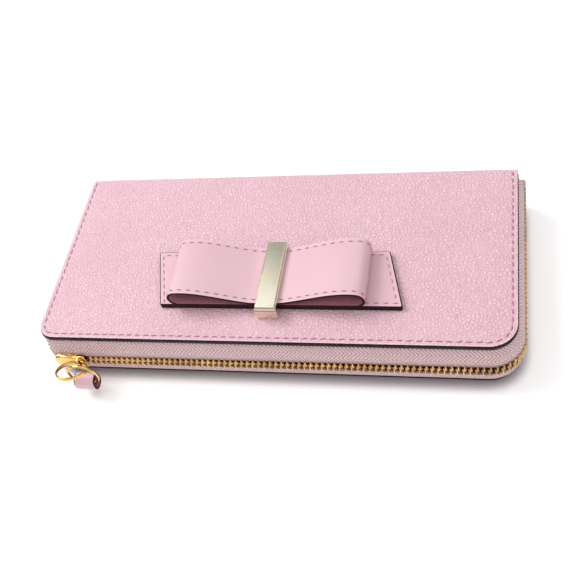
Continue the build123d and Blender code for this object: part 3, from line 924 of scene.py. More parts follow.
class RepeatedPiece:
    """A Geometry Nodes tree that sets one small shape after another along a line."""

    inputs: dict[str, float] = {}

    def __init__(self, name: str) -> None:
        """Build the tree with its named inputs.

        Args:
            name: the tree's name.
        """
        tree = bpy.data.node_groups.new(name, "GeometryNodeTree")
        face = tree.interface
        face.new_socket(name="Line", in_out="INPUT", socket_type="NodeSocketGeometry")
        for key, value in self.inputs.items():
            socket = face.new_socket(name=key, in_out="INPUT", socket_type="NodeSocketFloat")
            socket.default_value = value
        face.new_socket(name="Finish", in_out="INPUT", socket_type="NodeSocketMaterial")
        face.new_socket(name="Geometry", in_out="OUTPUT", socket_type="NodeSocketGeometry")
        self.tree, self.graph = tree, Graph(tree)
        self.given = self.graph.add("NodeGroupInput")
        curve = self.graph.add("GeometryNodeMeshToCurve", {"Mesh": self.given.outputs["Line"]})
        stations = self.graph.add(
            "GeometryNodeCurveToPoints",
            {"Curve": curve.outputs[0], "Length": self.given.outputs["Pitch"]},
            mode="LENGTH",
        )
        aligned = self.graph.add(
            "FunctionNodeAlignRotationToVector",
            {"Vector": stations.outputs["Tangent"]},
            axis="X",
            pivot_axis="AUTO",
        )
        copies = self.graph.add(
            "GeometryNodeInstanceOnPoints",
            {
                "Points": stations.outputs["Points"],
                "Instance": self.shape(),
                "Rotation": self.turned(aligned.outputs[0]),
            },
        )
        real = self.graph.add("GeometryNodeRealizeInstances", {0: copies.outputs[0]})
        dressed = self.graph.add(
            "GeometryNodeSetMaterial",
            {"Geometry": real.outputs[0], "Material": self.given.outputs["Finish"]},
        )
        leave = self.graph.add("NodeGroupOutput")
        tree.links.new(dressed.outputs[0], leave.inputs[0])

    def shape(self) -> bpy.types.NodeSocket:
        """Socket with the repeated shape, its length along X."""
        raise NotImplementedError

    def turned(self, rotation: bpy.types.NodeSocket) -> bpy.types.NodeSocket:
        """Rotation of each copy, here the line's own."""
        return rotation

    def size(self, key: str) -> bpy.types.NodeSocket:
        """One of the tree's named sizes."""
        return self.given.outputs[key]

    def vector(self, x: object, y: object, z: object) -> bpy.types.NodeSocket:
        """A vector made of three sizes."""
        return self.graph.add("ShaderNodeCombineXYZ", {0: x, 1: y, 2: z}).outputs[0]

    def run(
        self, name: str, lines: Sequence[Sequence[Point]], finish: bpy.types.Material, **sizes: float
    ) -> bpy.types.Object:
        """Set the pieces along the lines as one plain mesh.

        Args:
            name: the piece's name.
            lines: one or more open lines in millimetres.
            finish: the material.
            sizes: the tree's inputs, in metres.

        Returns:
            The object with its mesh, without the modifier.
        """
        mesh = bpy.data.meshes.new(name)
        points: list[list[float]] = []
        edges: list[tuple[int, int]] = []
        for line in lines:
            first = len(points)
            points += [[c * MM for c in p] for p in line]
            edges += [(k, k + 1) for k in range(first, len(points) - 1)]
        mesh.from_pydata(points, edges, [])
        made = bpy.data.objects.new(name, mesh)
        bpy.context.scene.collection.objects.link(made)
        modifier = made.modifiers.new("repeat", "NODES")
        modifier.node_group = self.tree
        for item in self.tree.interface.items_tree:
            if item.in_out == "INPUT" and item.name in sizes:
                modifier[item.identifier] = sizes[item.name]
            if item.in_out == "INPUT" and item.name == "Finish":
                modifier[item.identifier] = finish
        depsgraph = bpy.context.evaluated_depsgraph_get()
        result = bpy.data.meshes.new_from_object(made.evaluated_get(depsgraph), depsgraph=depsgraph)
        made.modifiers.clear()
        made.data = result
        result.polygons.foreach_set("use_smooth", [True] * len(result.polygons))
        result.set_sharp_from_angle(angle=math.radians(50))
        if not result.materials:
            result.materials.append(finish)
        return made


class ThreadRun(RepeatedPiece):
    """Stitches: short, slightly slanted lengths of thread with gaps between them."""

    inputs = {"Pitch": 0.0036, "Stitch": 0.0024, "Width": 0.00055, "Height": 0.0005, "Slant": 0.1}

    def shape(self) -> bpy.types.NodeSocket:
        """One stitch, a drop of thread tapered to both holes.

        Returns:
            The stitch's geometry.
        """
        drop = self.graph.add("GeometryNodeMeshUVSphere", {"Segments": 7, "Rings": 6, "Radius": 0.5})
        scaled = self.graph.add(
            "GeometryNodeTransform",
            {
                "Geometry": drop.outputs[0],
                "Scale": self.vector(self.size("Height"), self.size("Width"), self.size("Stitch")),
                "Rotation": (0.0, math.pi / 2, 0.0),
            },
        )
        return scaled.outputs[0]

    def turned(self, rotation: bpy.types.NodeSocket) -> bpy.types.NodeSocket:
        """The line's direction with the stitch's slant and a small random turn.

        Args:
            rotation: the line's direction at each stitch.

        Returns:
            The rotation of each stitch.
        """
        limits = {2: -0.07, 3: 0.07, "Seed": 11}
        chance = self.graph.add("FunctionNodeRandomValue", limits, data_type="FLOAT")
        angle = self.graph.math("ADD", chance.outputs[1], self.size("Slant"))
        turn = self.graph.add("FunctionNodeEulerToRotation", {0: self.vector(0.0, 0.0, angle)})
        return self.graph.add(
            "FunctionNodeRotateRotation", {0: rotation, 1: turn.outputs[0]}, rotation_space="LOCAL"
        ).outputs[0]


class ToothRun(RepeatedPiece):
    """Zip teeth: a clamped body with a rounded head that meets the other row."""

    inputs = {"Pitch": 0.0023, "Length": 0.001, "Depth": 0.0022, "Height": 0.0032, "Head": 1.0}

    def shape(self) -> bpy.types.NodeSocket:
        """One tooth, standing along Z with its head at +Z or -Z.

        Returns:
            The tooth's geometry.
        """
        body = self.graph.add(
            "GeometryNodeMeshCylinder",
            {"Vertices": 10, "Side Segments": 1, "Radius": 0.5, "Depth": 0.74},
        )
        body_size = self.vector(self.size("Length"), self.size("Depth"), self.size("Height"))
        shift = self.graph.math("MULTIPLY", self.size("Head"), -0.13)
        shift = self.graph.math("MULTIPLY", self.size("Height"), shift)
        clamp = self.graph.add(
            "GeometryNodeTransform",
            {
                "Geometry": body.outputs[0],
                "Scale": body_size,
                "Translation": self.vector(0.0, 0.0, shift),
            },
        )
        ball = self.graph.add("GeometryNodeMeshUVSphere", {"Segments": 8, "Rings": 6, "Radius": 0.5})
        head_size = self.vector(
            self.graph.math("MULTIPLY", self.size("Length"), 1.5),
            self.graph.math("MULTIPLY", self.size("Depth"), 0.98),
            self.graph.math("MULTIPLY", self.size("Height"), 0.46),
        )
        lift = self.graph.math("MULTIPLY", self.size("Head"), 0.27)
        lift = self.graph.math("MULTIPLY", self.size("Height"), lift)
        head = self.graph.add(
            "GeometryNodeTransform",
            {
                "Geometry": ball.outputs[0],
                "Scale": head_size,
                "Translation": self.vector(0.0, 0.0, lift),
            },
        )
        joined = self.graph.add("GeometryNodeJoinGeometry")
        self.tree.links.new(clamp.outputs[0], joined.inputs[0])
        self.tree.links.new(head.outputs[0], joined.inputs[0])
        return joined.outputs[0]


# ------------------------------------------------------- the sub-assemblies


@dataclass
class SubAssembly:
    """What every sub-assembly is built with."""

    finishes: Finishes
    threads: ThreadRun
    teeth: ToothRun


# ------------------------------------------------------------- the covers


@dataclass
class Cover(SubAssembly):
    """One cover: its leather with half of the spine, its board, lining, cards and stitches."""

    sizes: Sizes
    side: Side
    insets: tuple[float, ...] = (
        0.0, 0.08, 0.2, 0.4, 0.7, 1.1, 1.5, 1.75, 1.95, 2.15, 2.5, 3.2, 4.6, 7.0, 10.0,
    )
    drops: tuple[float, ...] = (
        0.34, 0.23, 0.15, 0.1, 0.08, 0.09, 0.13, 0.2, 0.28, 0.2, 0.13, 0.1, 0.06, 0.02, 0.0,
    )
    seam_inset: float = 1.95
    paint_roll: float = 0.1
    stitch_pitch: float = 3.55
    lining_inset: float = 7.3
    card_ends: float = 84.0
    card_fronts: tuple[float, ...] = (-30.0, -18.0, -6.0)
    card_back: float = 38.0
    card_seam_x: float = 82.0
    card_seam_ends: Flat = (2.5, 11.5)
    last_seam_back: float = 36.0
    gusset_levels: Flat = (5.45, 9.85)
    gusset_setback: float = 7.0
    gusset_end: float = 3.0
    gusset_reach: Flat = (18.0, 14.0)
    gusset_steps: int = 22
    gusset_cut: float = 0.0368

    @property
    def label(self) -> str:
        """The word that starts this cover's piece names."""
        return "back" if self.side is Side.BACK else "front"

    def up(self, z: float) -> float:
        """Height of a point given for the back cover."""
        return self.side.height(z, self.sizes.thickness)

    def lay(self, u: float, v: float, h: float) -> Point:
        """Place of a point on a plate that lies in this cover."""
        return (u, v, self.up(h))

    def build_leather(self) -> None:
        """Leather of the cover, its fold and its half of the spine."""
        s, shell = self.sizes, Shell()
        rings = [
            shell.row([(x, y, self.up(drop)) for x, y in s.cover_line(inset, s.fold_y)], inset)
            for inset, drop in zip(self.insets, self.drops)
        ]
        for inset, a, b in zip(self.insets, rings, rings[1:]):
            shell.bridge(a, b, 1 if inset < self.paint_roll else 0)
        last = self.insets[-1]
        middle_x = spread(s.left + last, s.right - last, 20)[1:-1]
        middle = shell.row([(x, s.fold_y, self.up(0.0)) for x in middle_x])
        shell.face(rings[-1] + middle[::-1])
        row = [r[0] for r in rings] + middle + [r[-1] for r in reversed(rings)]
        drops = list(self.drops) + [0.0] * len(middle) + list(reversed(self.drops))
        insets = list(self.insets) + [20.0] * len(middle) + list(reversed(self.insets))
        columns = [shell.points[n][0] for n in row]
        inner = shell.row([(x, y, self.up(s.leather)) for x, y in s.cover_line(0.0, s.fold_y)], 0.0)
        shell.face(inner)
        shell.bridge(rings[0], inner, 1)
        ends = (inner[0], inner[-1])
        for y, z, out_y, out_z in self.fold_stations():
            new_row = shell.row(
                [(x, y - out_y * d, self.up(z - out_z * d)) for x, d in zip(columns, drops)]
            )
            for n, inset in zip(new_row, insets):
                shell.insets[n] = inset
            inside = (y - out_y * s.leather, self.up(z - out_z * s.leather))
            new_ends = shell.row([(s.left, *inside), (s.right, *inside)], 0.0)
            shell.bridge(row, new_row)
            shell.face([ends[0], ends[1], new_ends[1], new_ends[0]])
            shell.face([row[0], new_row[0], new_ends[0], ends[0]], 1)
            shell.face([row[-1], new_row[-1], new_ends[1], ends[1]], 1)
            row, ends = new_row, new_ends
        shell.face(row + [ends[1], ends[0]])
        made = shell.build(f"{self.label}_cover_wrap", (self.finishes.pebbled, self.finishes.paint))
        top = s.thickness
        if self.side is Side.BACK:
            settle_bend(
                made, ("back_cover", "spine"), (0, s.fold_y, 0), (0, s.depth / 2, s.fold_radius),
                ("back_cover_leather", "spine_leather"),
            )
        else:
            settle_bend(
                made, ("spine", "front_cover"),
                (0, s.depth / 2, top - s.fold_radius), (0, s.fold_y, top),
                ("front_cover_leather",),
            )

    def fold_stations(self) -> list[tuple[float, float, float, float]]:
        """Places round the fold and up the spine.

        Returns:
            Each place's y and z with its outward direction.
        """
        s, stations = self.sizes, []
        for angle in spread(0, 90, 12)[1:]:
            turn = math.radians(angle)
            out = (math.sin(turn), -math.cos(turn))
            stations.append(
                (s.fold_y + s.fold_radius * out[0], s.fold_radius + s.fold_radius * out[1], *out)
            )
        stations += [(s.depth / 2, z, 1.0, 0.0) for z in spread(s.fold_radius, s.middle_z, 5)[1:]]
        return stations

    def build_board(self) -> None:
        """Stiffener board with the bead of dark paint that closes the cover's edge."""
        s, shell = self.sizes, Shell()
        levels = (
            (0.5, 2.2), (0.12, 2.2), (-0.1, 2.08), (-0.2, 1.7), (-0.23, 1.2),
            (-0.18, 0.75), (-0.06, 0.44), (0.08, 0.33), (0.25, 0.5), (0.45, 1.25),
        )
        shell.stack(
            lambda inset: s.cover_line(inset, s.fold_y - 0.5),
            levels,
            self.lay,
        )
        made = shell.build(f"{self.label}_board_and_painted_edge", (self.finishes.paint,))
        settle(made, self.side.value, (f"{self.label}_cover_board",))

    def build_stitches(self) -> None:
        """Stitches along the left, front and right edges."""
        s = self.sizes
        line = [(x, y, self.up(0.19)) for x, y in s.cover_line(self.seam_inset, s.fold_y - 0.6)]
        made = self.threads.run(
            f"{self.label}_cover_stitches", [line], self.finishes.thread,
            Pitch=self.stitch_pitch * MM, Stitch=0.0025, Width=0.00055, Height=0.00042, Slant=0.1,
        )
        settle(made, self.side.value)

    def build_lining(self) -> None:
        """Lining cloth, turned under along its edges."""
        s, shell = self.sizes, Shell()
        low = s.leather + s.board
        shell.stack(
            lambda more: s.cover_line(self.lining_inset + more, s.fold_y - 0.5),
            ((0.25, low), (0.0, low + 0.2), (0.0, low + 0.7), (0.25, low + 0.95), (0.8, low + 1.0)),
            self.lay,
        )
        made = shell.build(f"{self.label}_lining_cloth", (self.finishes.lining,))
        settle(made, self.side.value, (f"{self.label}_lining",))

    def build_cards(self) -> None:
        """Three stepped rows of card slots with their stitches."""
        s = self.sizes
        seams: list[list[Point]] = []
        for row, front in enumerate(self.card_fronts):
            shell = Shell()
            low = s.leather + s.board + s.lining + row * s.card
            corners = rectangle(-self.card_ends, front, self.card_ends, self.card_back)
            shell.stack(
                corner_outline(corners, 1.2, 5),
                (
                    (0.2, low), (0.0, low + 0.15), (-0.05, low + 0.38), (0.05, low + 0.6),
                    (0.35, low + s.card),
                ),
                self.lay,
            )
            made = shell.build(f"{self.label}_card_slots_{row + 1}", (self.finishes.card,))
            settle(made, self.side.value, (f"{self.label}_card_row_{row + 1}",))
            top = self.up(low + s.card + 0.02)
            end, (near, far) = self.card_seam_x, self.card_seam_ends
            seams.append([(x, front + 1.6, top) for x in spread(-end, end, 40)])
            last_row = front == self.card_fronts[-1]
            back = self.last_seam_back if last_row else front + far
            for x in (0.0, -end, end):
                seams.append([(x, y, top) for y in spread(front + near, back, 8)])
        made = self.threads.run(
            f"{self.label}_card_stitches", seams, self.finishes.thread,
            Pitch=0.003, Stitch=0.0021, Width=0.0004, Height=0.0002, Slant=0.08,
        )
        settle(made, self.side.value)

    def build_gusset(self, right: bool) -> None:
        """V-fold of cloth between the card slots and the coin pocket.

        Args:
            right: whether it closes the right-hand end.
        """
        s = self.sizes
        hand = 1.0 if right else -1.0
        low, high = self.gusset_levels
        shell, rows = Shell(), []
        area, last = 0.0, None
        depth = s.fold_y - s.front - self.gusset_setback
        for y in spread(s.front + self.gusset_setback, s.fold_y, self.gusset_steps):
            share = (y - s.front - self.gusset_setback) / depth
            reach = self.gusset_reach[0] - self.gusset_reach[1] * share
            sag = 0.35 * math.sin(math.pi * share)
            section = []
            for t in spread(-1.0, 1.0, 20):
                inward = reach * (1 - abs(t) ** 1.35) * (1 - 0.02 * math.cos(9 * share))
                z = (low + high) / 2 + (high - low) / 2 * math.copysign(abs(t) ** 0.62, t)
                z -= sag * (1 - abs(t)) * 0.6
                section.append((hand * (s.right - self.gusset_end - inward), y, self.up(z)))
            length = sum((Vector(b) - Vector(a)).length for a, b in zip(section, section[1:]))
            if last is not None:
                area += (length + last) / 2 * depth / self.gusset_steps
            last = length
            rows.append(shell.row(section))
        for a, b in zip(rows, rows[1:]):
            shell.bridge(a, b)
        end = "right" if right else "left"
        made = shell.build(f"{end}_gusset_fold_{self.label}", (self.finishes.gusset,), sharp=80)
        wall = made.modifiers.new("cloth", "SOLIDIFY")
        wall.thickness = 0.0004
        wall.offset = 0.0
        node = f"{end}_gusset_{self.label}"
        if self.side is Side.BACK:
            settle_bend(
                made, ("back_cover", "spine"), (0, 0, low), (0, 0, high), (node,)
            )
        else:
            settle_bend(
                made, ("spine", "front_cover"),
                (0, 0, s.thickness - high), (0, 0, s.thickness - low), (node,),
            )

    def build(self) -> None:
        """Build and dress every piece of the cover."""
        self.build_leather()
        self.build_board()
        self.build_stitches()
        self.build_lining()
        self.build_cards()
        self.build_gusset(right=False)
        self.build_gusset(right=True)


# ---------------------------------------------------------------- the zip


@dataclass
class ZipHalf(SubAssembly):
    """One side of the zip: its tape with the cord on its edge, its teeth and its two turned ends."""

    sizes: Sizes
    side: Side
    end_y: float = 39.5
    teeth_start: float = -75.5
    first_tooth: float = 0.575
    tooth_height: float = 3.2
    tooth_middle: float = 11.0
    root: float = 9.35
    tape: float = 0.6
    start_low: float = 2.25
    start_high: float = 11.8

    @property
    def label(self) -> str:
        """The word that starts this half's piece names."""
        return "lower" if self.side is Side.BACK else "upper"

    def up(self, z: float) -> float:
        """Height of a point given for the lower half."""
        return self.side.height(z, self.sizes.thickness)

    def wall(self) -> list[Flat]:
        """Visible side of the tape, from the cover to the chain.

        Returns:
            Distance outside the cover's edge and height of each point.
        """
        if self.side is Side.BACK:
            return [
                (-7.0, 2.22), (-1.2, 2.22), (-0.25, 2.28), (0.45, 2.68), (1.1, 3.4), (1.7, 4.3),
                (2.1, 5.3), (2.32, 6.4), (2.46, 7.6), (2.5, 8.4), (2.46, 9.5),
            ]
        return [
            (-7.0, 2.22), (-1.2, 2.22), (-0.35, 2.3), (0.2, 2.9), (0.8, 3.9), (1.35, 5.0),
            (1.8, 6.2), (2.2, 7.3), (2.46, 8.2), (2.5, 9.0), (2.46, 9.6),
        ]

    def build_tape(self) -> None:
        """Woven tape from under the lining out to the chain."""
        s, shell = self.sizes, Shell()
        outer = self.wall()
        inner = [
            (o - self.tape * (0.92 if z < 7.0 else 0.66), z + self.tape * 0.3)
            for o, z in outer[3:]
        ]
        inner = [(-7.0, 2.8), (-1.5, 2.8), (-0.8, 2.95)] + inner[:-1] + [(2.06, outer[-1][1])]
        section = outer + inner[::-1]
        lines = [s.zip_line(o, s.zip_start, self.end_y) for o, _ in section]
        rows = [
            [(lines[k][j][0], lines[k][j][1], self.up(z)) for k, (_, z) in enumerate(section)]
            for j in range(len(lines[0]))
        ]
        along = [0.0]
        for a, b in zip(rows, rows[1:]):
            along.append(along[-1] + (Vector(a[8]) - Vector(b[8])).length)
        round_it = [0.0]
        for k in range(len(section)):
            a, b = section[k], section[(k + 1) % len(section)]
            round_it.append(round_it[-1] + math.dist(a, b))
        shell.loft(rows, lengths=(along, round_it))
        made = shell.build(f"{self.label}_tape", (self.finishes.tape,))
        settle(made, self.side.value, (f"{self.label}_zip_tape",))

    def build_cord(self) -> None:
        """Cord woven along the tape's edge and the row of root threads on it."""
        s, shell = self.sizes, Shell()
        path = s.zip_line(2.4, self.teeth_start - 0.5, self.end_y)
        rows = []
        for (x, y), (left_x, left_y) in zip(path, leftward(path)):
            rows.append([
                (x - left_x * c * 0.5, y - left_y * c * 0.5, self.up(self.root + d * 0.24))
                for c, d in arc((0, 0), 1.0, 0, 324, 9)
            ])
        shell.loft(rows)
        made = shell.build(f"{self.label}_tape_cord", (self.finishes.cord,), sharp=80)
        settle(made, self.side.value)
        line = s.zip_line(2.9, self.teeth_start + 1.7, self.end_y)
        roots = [(x, y, self.up(self.root)) for x, y in line]
        made = self.threads.run(
            f"{self.label}_root_threads", [roots], self.finishes.dark_thread,
            Pitch=s.pitch * MM, Stitch=0.0009, Width=0.0004, Height=0.0005, Slant=0.0,
        )
        settle(made, self.side.value)

    def build_teeth(self) -> None:
        """One row of teeth."""
        s = self.sizes
        line = [
            (x, y, self.up(self.tooth_middle))
            for x, y in s.zip_line(s.stand_off, self.teeth_start + self.first_tooth, self.end_y)
        ]
        made = self.teeth.run(
            f"{self.label}_teeth", [line], self.finishes.teeth,
            Pitch=s.pitch * MM, Length=0.00105, Depth=0.0023, Height=self.tooth_height * MM,
            Head=1.0 if self.side is Side.BACK else -1.0,
        )
        settle(made, self.side.value, (f"{self.label}_zip_teeth",))

    def build_start(self) -> None:
        """Turned start of the tape, wrapped round the left-hand front corner."""
        s, shell = self.sizes, Shell()
        path = [(x, s.front + 0.8) for x in spread(s.zip_start + 1.5, s.left + 4.0, 6)]
        path += arc((s.left + 4.0, s.front + 4.0), 3.2, 270, 180, 10)[1:]
        path += [(s.left + 0.8, y) for y in spread(s.front + 4.0, s.front + 13.0, 9)][1:]
        rows, along = [], [0.0]
        for j, ((x, y), (left_x, left_y)) in enumerate(zip(path, leftward(path))):
            if j:
                along.append(along[-1] + math.dist(path[j - 1], path[j]))
            near = 1.0 - smooth(1.0, 7.5, along[-1])
            ripple = 1 - 0.4 * math.sin(along[-1])
            section = []
            for wall, a, b in (
                (0.0, self.start_low, self.start_high), (self.tape, self.start_high, self.start_low)
            ):
                for z in spread(a, b, 10):
                    slope = smooth(self.start_low, 8.5, z)
                    bulge = 3.0 * slope * near - 1.6 * slope * (1 - near) * ripple - wall
                    section.append((x + left_x * bulge, y + left_y * bulge, self.up(z)))
            rows.append(section)
        shell.loft(rows, lengths=(along, spread(0.0, 21.0, 22)))
        made = shell.build(f"{self.label}_tape_turned_start", (self.finishes.tape,))
        settle(made, self.side.value, (f"{self.label}_tape_start",))

    def build_tail(self) -> None:
        """Folded tab that closes the tape at the spine."""
        x0, y0, _, x1, y1, _ = extent("lower_tape_tail")
        outline = corner_outline(rectangle(x0, y0, x1, y1), 0.8, 5)
        levels = (
            (0.9, 6.2), (0.35, 6.35), (0.05, 6.9), (-0.05, 8.0), (0.08, 9.2),
            (-0.02, 10.4), (0.05, 11.3), (0.3, 11.7), (0.8, 11.8),
        )
        shell = Shell()
        rows = [[(x, y, self.up(h)) for x, y in outline(inset)] for inset, h in levels]
        width = len(rows[0])
        shell.loft(rows, lengths=([h for _, h in levels], spread(0.0, 14.0, width)))
        made = shell.build(f"{self.label}_tape_folded_tail", (self.finishes.tape,))
        settle(made, self.side.value, (f"{self.label}_tape_tail",))

    def build(self) -> None:
        """Build and dress this half of the zip."""
        self.build_tape()
        self.build_cord()
        self.build_teeth()
        self.build_start()
        self.build_tail()


# --------------------------------------------------------------- the pull


@dataclass
class ZipPull(SubAssembly):
    """The slider with its bail, the band ring, the wire ring and the leather tab."""

    middle_x: float
    middle_z: float
    length: float
    half_height: float
    face_y: float
    inner_y: float
    bail_x: float
    bail_z: float
    bail_half: float
    band_radius: float
    band_centre: tuple[float, float]
    wire_x: float
    wire_radius: float
    wire_bottom: float
    wire_top: float
    tab_width: float
    tab_depth: float
    tab_height: float
    tab_bottom: float
    plate: float = 0.8
    band_wall: float = 0.7
    band_height: float = 1.5
    band_tilt: float = 26.0
    wire: float = 1.1
    tab_leather: float = 1.1
    flange_ends: Flat = (-5.2, 5.4)
    flange_place: float = 3.35
    flange_half: float = 0.42
    post_ends: Flat = (-6.4, -3.4)
    post_half: float = 1.1
    bail_thickness: float = 0.43

    @classmethod
    def from_frame(cls, finishes: Finishes, threads: ThreadRun, teeth: ToothRun) -> "ZipPull":
        """Take the places of the slider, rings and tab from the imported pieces.

        Args:
            finishes: the wallet's finishes.
            threads: what sets stitches.
            teeth: what sets teeth.

        Returns:
            The pull with its sizes.
        """
        names = ("slider_body", "slider_bail", "band_ring", "wire_ring", "leather_tab")
        lows, highs = zip(*[[corner * 1000 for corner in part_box(name)] for name in names])
        middles = [(a + b) / 2 for a, b in zip(lows, highs)]
        return cls(
            finishes,
            threads,
            teeth,
            middle_x=middles[0].x,
            middle_z=middles[0].z,
            length=highs[0].x - lows[0].x,
            half_height=(highs[0].z - lows[0].z) / 2,
            face_y=lows[0].y,
            inner_y=highs[0].y - 0.8,
            bail_x=middles[1].x,
            bail_z=middles[1].z,
            bail_half=(highs[1].z - lows[1].z) / 2,
            band_radius=(highs[2].x - lows[2].x) / 2,
            band_centre=(middles[2].y, middles[2].z),
            wire_x=middles[3].x,
            wire_radius=(highs[3].x - lows[3].x - 1.1) / 2,
            wire_bottom=lows[3].z + 0.55,
            wire_top=highs[3].z - 0.55,
            tab_width=highs[4].x - lows[4].x,
            tab_depth=highs[4].y - lows[4].y,
            tab_height=highs[4].z - lows[4].z,
            tab_bottom=lows[4].z,
        )

    def shield(self, inset: float) -> list[Flat]:
        """Outline of the slider's plates: a rounded nose that widens to the mouth.

        Args:
            inset: distance inside the plates' edge.

        Returns:
            The closed outline's points.
        """
        left = self.middle_x - self.length / 2 + inset
        right = self.middle_x + self.length / 2 - inset
        top = []
        for t in spread(0.0, 1.0, 24):
            x = left + (right - left) * t
            nose = min(1.0, math.sqrt(max(0.0, 1 - (1 - min(t / 0.5, 1.0)) ** 2)))
            waist = 1.0 - 0.1 * math.sin(math.pi * smooth(0.3, 1.0, t))
            mouth = 1.0 - 0.12 * smooth(0.93, 1.0, t)
            height = (self.half_height - inset) * (0.3 + 0.7 * nose) * waist * mouth
            top.append((x, max(0.05, height)))
        lower = [(x, self.middle_z - h) for x, h in top]
        return lower + [(x, self.middle_z + h) for x, h in reversed(top)]

    def build_slider(self) -> None:
        """Two domed plates, their flanges and the post between them."""
        shell = Shell()
        outer = (
            (0.55, 0.0), (0.1, 0.0), (0.0, 0.12), (0.0, 0.42), (0.12, 0.64), (0.4, 0.78),
            (1.1, 0.86), (2.0, 0.9),
        )
        for direction, base in ((-1.0, self.face_y + self.plate), (1.0, self.inner_y)):
            shell.stack(self.shield, outer, lambda u, v, h, d=direction, b=base: (u, b + d * h, v))
        x0, x1 = (self.middle_x + end for end in self.flange_ends)
        front, back = self.face_y + 0.7, self.inner_y + 0.1
        for side in (-1, 1):
            z, half = self.middle_z + side * self.flange_place, self.flange_half
            flange = corner_outline(rectangle(x0, z - half, x1, z + half), 0.3, 3)
            for y0, y1 in ((front, self.face_y + 1.85), (self.inner_y - 1.05, back)):
                shell.stack(flange, ((0.0, y0), (0.0, y1 - 0.12), (0.12, y1)), upright)
        x0, x1 = (self.middle_x + end for end in self.post_ends)
        post = rectangle(x0, self.middle_z - self.post_half, x1, self.middle_z + self.post_half)
        shell.stack(corner_outline(post, 0.9, 4), ((0.0, front), (0.0, back)), upright)
        made = shell.build("slider_plates", (self.finishes.gold,))
        settle(made, "zip_slider", ("slider_body",))

    def build_bail(self) -> None:
        """Leaf-shaped arch over the slider's face."""
        shell, rows = Shell(), []
        for t in spread(0.0, 1.0, 28):
            angle = math.pi * t
            reach = 2.35 * abs(math.sin(angle)) ** 0.55
            level = math.copysign(abs(math.cos(angle)) ** 0.75, math.cos(angle))
            z = self.bail_z - (self.bail_half - self.bail_thickness) * level
            width = 0.62 + 0.5 * math.sin(angle) ** 2
            normal = Vector((0.0, -math.sin(angle), -math.cos(angle))).normalized()
            centre = Vector((self.bail_x, self.face_y - reach + 0.05, z))
            section = []
            for c, d in arc((0, 0), 1.0, 0, 330, 11):
                across = Vector((width * math.copysign(abs(c) ** 0.8, c), 0, 0))
                section.append(tuple(centre + (across + normal * (self.bail_thickness * d))))
            rows.append(section)
        shell.loft(rows)
        made = shell.build("slider_leaf_bail", (self.finishes.gold,), sharp=60)
        settle(made, "zip_slider", ("slider_bail",))

    def build_band_ring(self) -> None:
        """Flat band ring with softly rounded rims."""
        shell, rows = Shell(), []
        tilt = math.radians(self.band_tilt)
        mean = self.band_radius - self.band_wall / 2
        half_wall, half_height = self.band_wall / 2, self.band_height / 2
        corners = rectangle(-half_wall, -half_height, half_wall, half_height)
        outline = corner_outline(corners, 0.26, 4)(0.0)
        for k in range(96):
            turn = 2 * math.pi * k / 96
            section = []
            for r, h in outline:
                u, v = (mean + r) * math.cos(turn), (mean + r) * math.sin(turn)
                y = self.band_centre[0] + v * math.cos(tilt) + h * math.sin(tilt)
                z = self.band_centre[1] - v * math.sin(tilt) + h * math.cos(tilt)
                section.append((self.bail_x + u, y, z))
            rows.append(section)
        shell.loft(rows, ring=True)
        made = shell.build("gold_band_ring", (self.finishes.gold,), sharp=60)
        settle(made, "pull_band_ring", ("band_ring",))

    def build_wire_ring(self) -> None:
        """Upright oval ring of round wire with a butted joint."""
        shell, rows = Shell(), []
        low, high = self.wire_bottom + self.wire_radius, self.wire_top - self.wire_radius
        path = [(math.radians(a), high) for a in spread(0, 180, 30)]
        path += [(math.radians(a), low) for a in spread(180, 360, 30)[:-1]]
        for a, z in path:
            out = Vector((math.cos(a), 0, math.sin(a)))
            centre = Vector((self.wire_x, self.band_centre[0], z)) + out * self.wire_radius
            rows.append([
                tuple(centre + out * (c * self.wire / 2) + Vector((0, d * self.wire / 2, 0)))
                for c, d in arc((0, 0), 1.0, 0, 330, 11)
            ])
        shell.loft(rows, ring=True)
        made = shell.build("gold_wire_ring", (self.finishes.gold,), sharp=60)
        settle(made, "pull_wire_ring", ("wire_ring",))

    def build_tab(self) -> None:
        """Leather loop round the foot of the wire ring, with painted cut edges."""
        shell, rows = Shell(), []
        half_y, half_z = self.tab_depth / 2, self.tab_height / 2
        middle = self.tab_bottom + half_z
        outline = corner_outline(rectangle(-half_y, -half_z, half_y, half_z), 2.8, 12)
        outer, inner = outline(0.0), outline(self.tab_leather)
        half = self.tab_width / 2
        section = [
            (-half + 0.5, -0.03, 0), (-half + 1.2, -0.06, 0), (0.0, -0.1, 0), (half - 1.2, -0.06, 0),
            (half - 0.35, 0.0, 1), (half - 0.08, 0.2, 1), (half, 0.5, 1), (half - 0.12, 0.95, 2),
            (half - 0.6, 1.0, 2), (-half + 0.6, 1.0, 1), (-half + 0.12, 0.95, 1), (-half, 0.5, 1),
            (-half + 0.06, 0.1, 1),
        ]
        for (y0, z0), (y1, z1) in zip(outer, inner):
            y, z = self.band_centre[0] + y0, middle + z0
            rows.append([
                (self.wire_x + x, y + (y1 - y0) * t, z + (z1 - z0) * t) for x, t, _ in section
            ])
        slots = [entry[2] for entry in section]
        insets = [0.3, 1.0, 4.0, 1.0, 0.3] + [0.0] * 7 + [0.1]
        shell.loft(rows, slots, ring=True, insets=insets)
        # The tab's inner face takes the darker flesh-side tone, partly painted shade.
        tones = (self.finishes.smooth, self.finishes.paint, self.finishes.flesh_side_with_painted_shade)
        made = shell.build("pull_leather_tab", tones, sharp=50)
        settle(made, "pull_tab", ("leather_tab",))

    def build(self) -> None:
        """Build and dress the slider and its pull."""
        self.build_slider()
        self.build_bail()
        self.build_band_ring()
        self.build_wire_ring()
        self.build_tab()


# ---------------------------------------------------------------- the bow


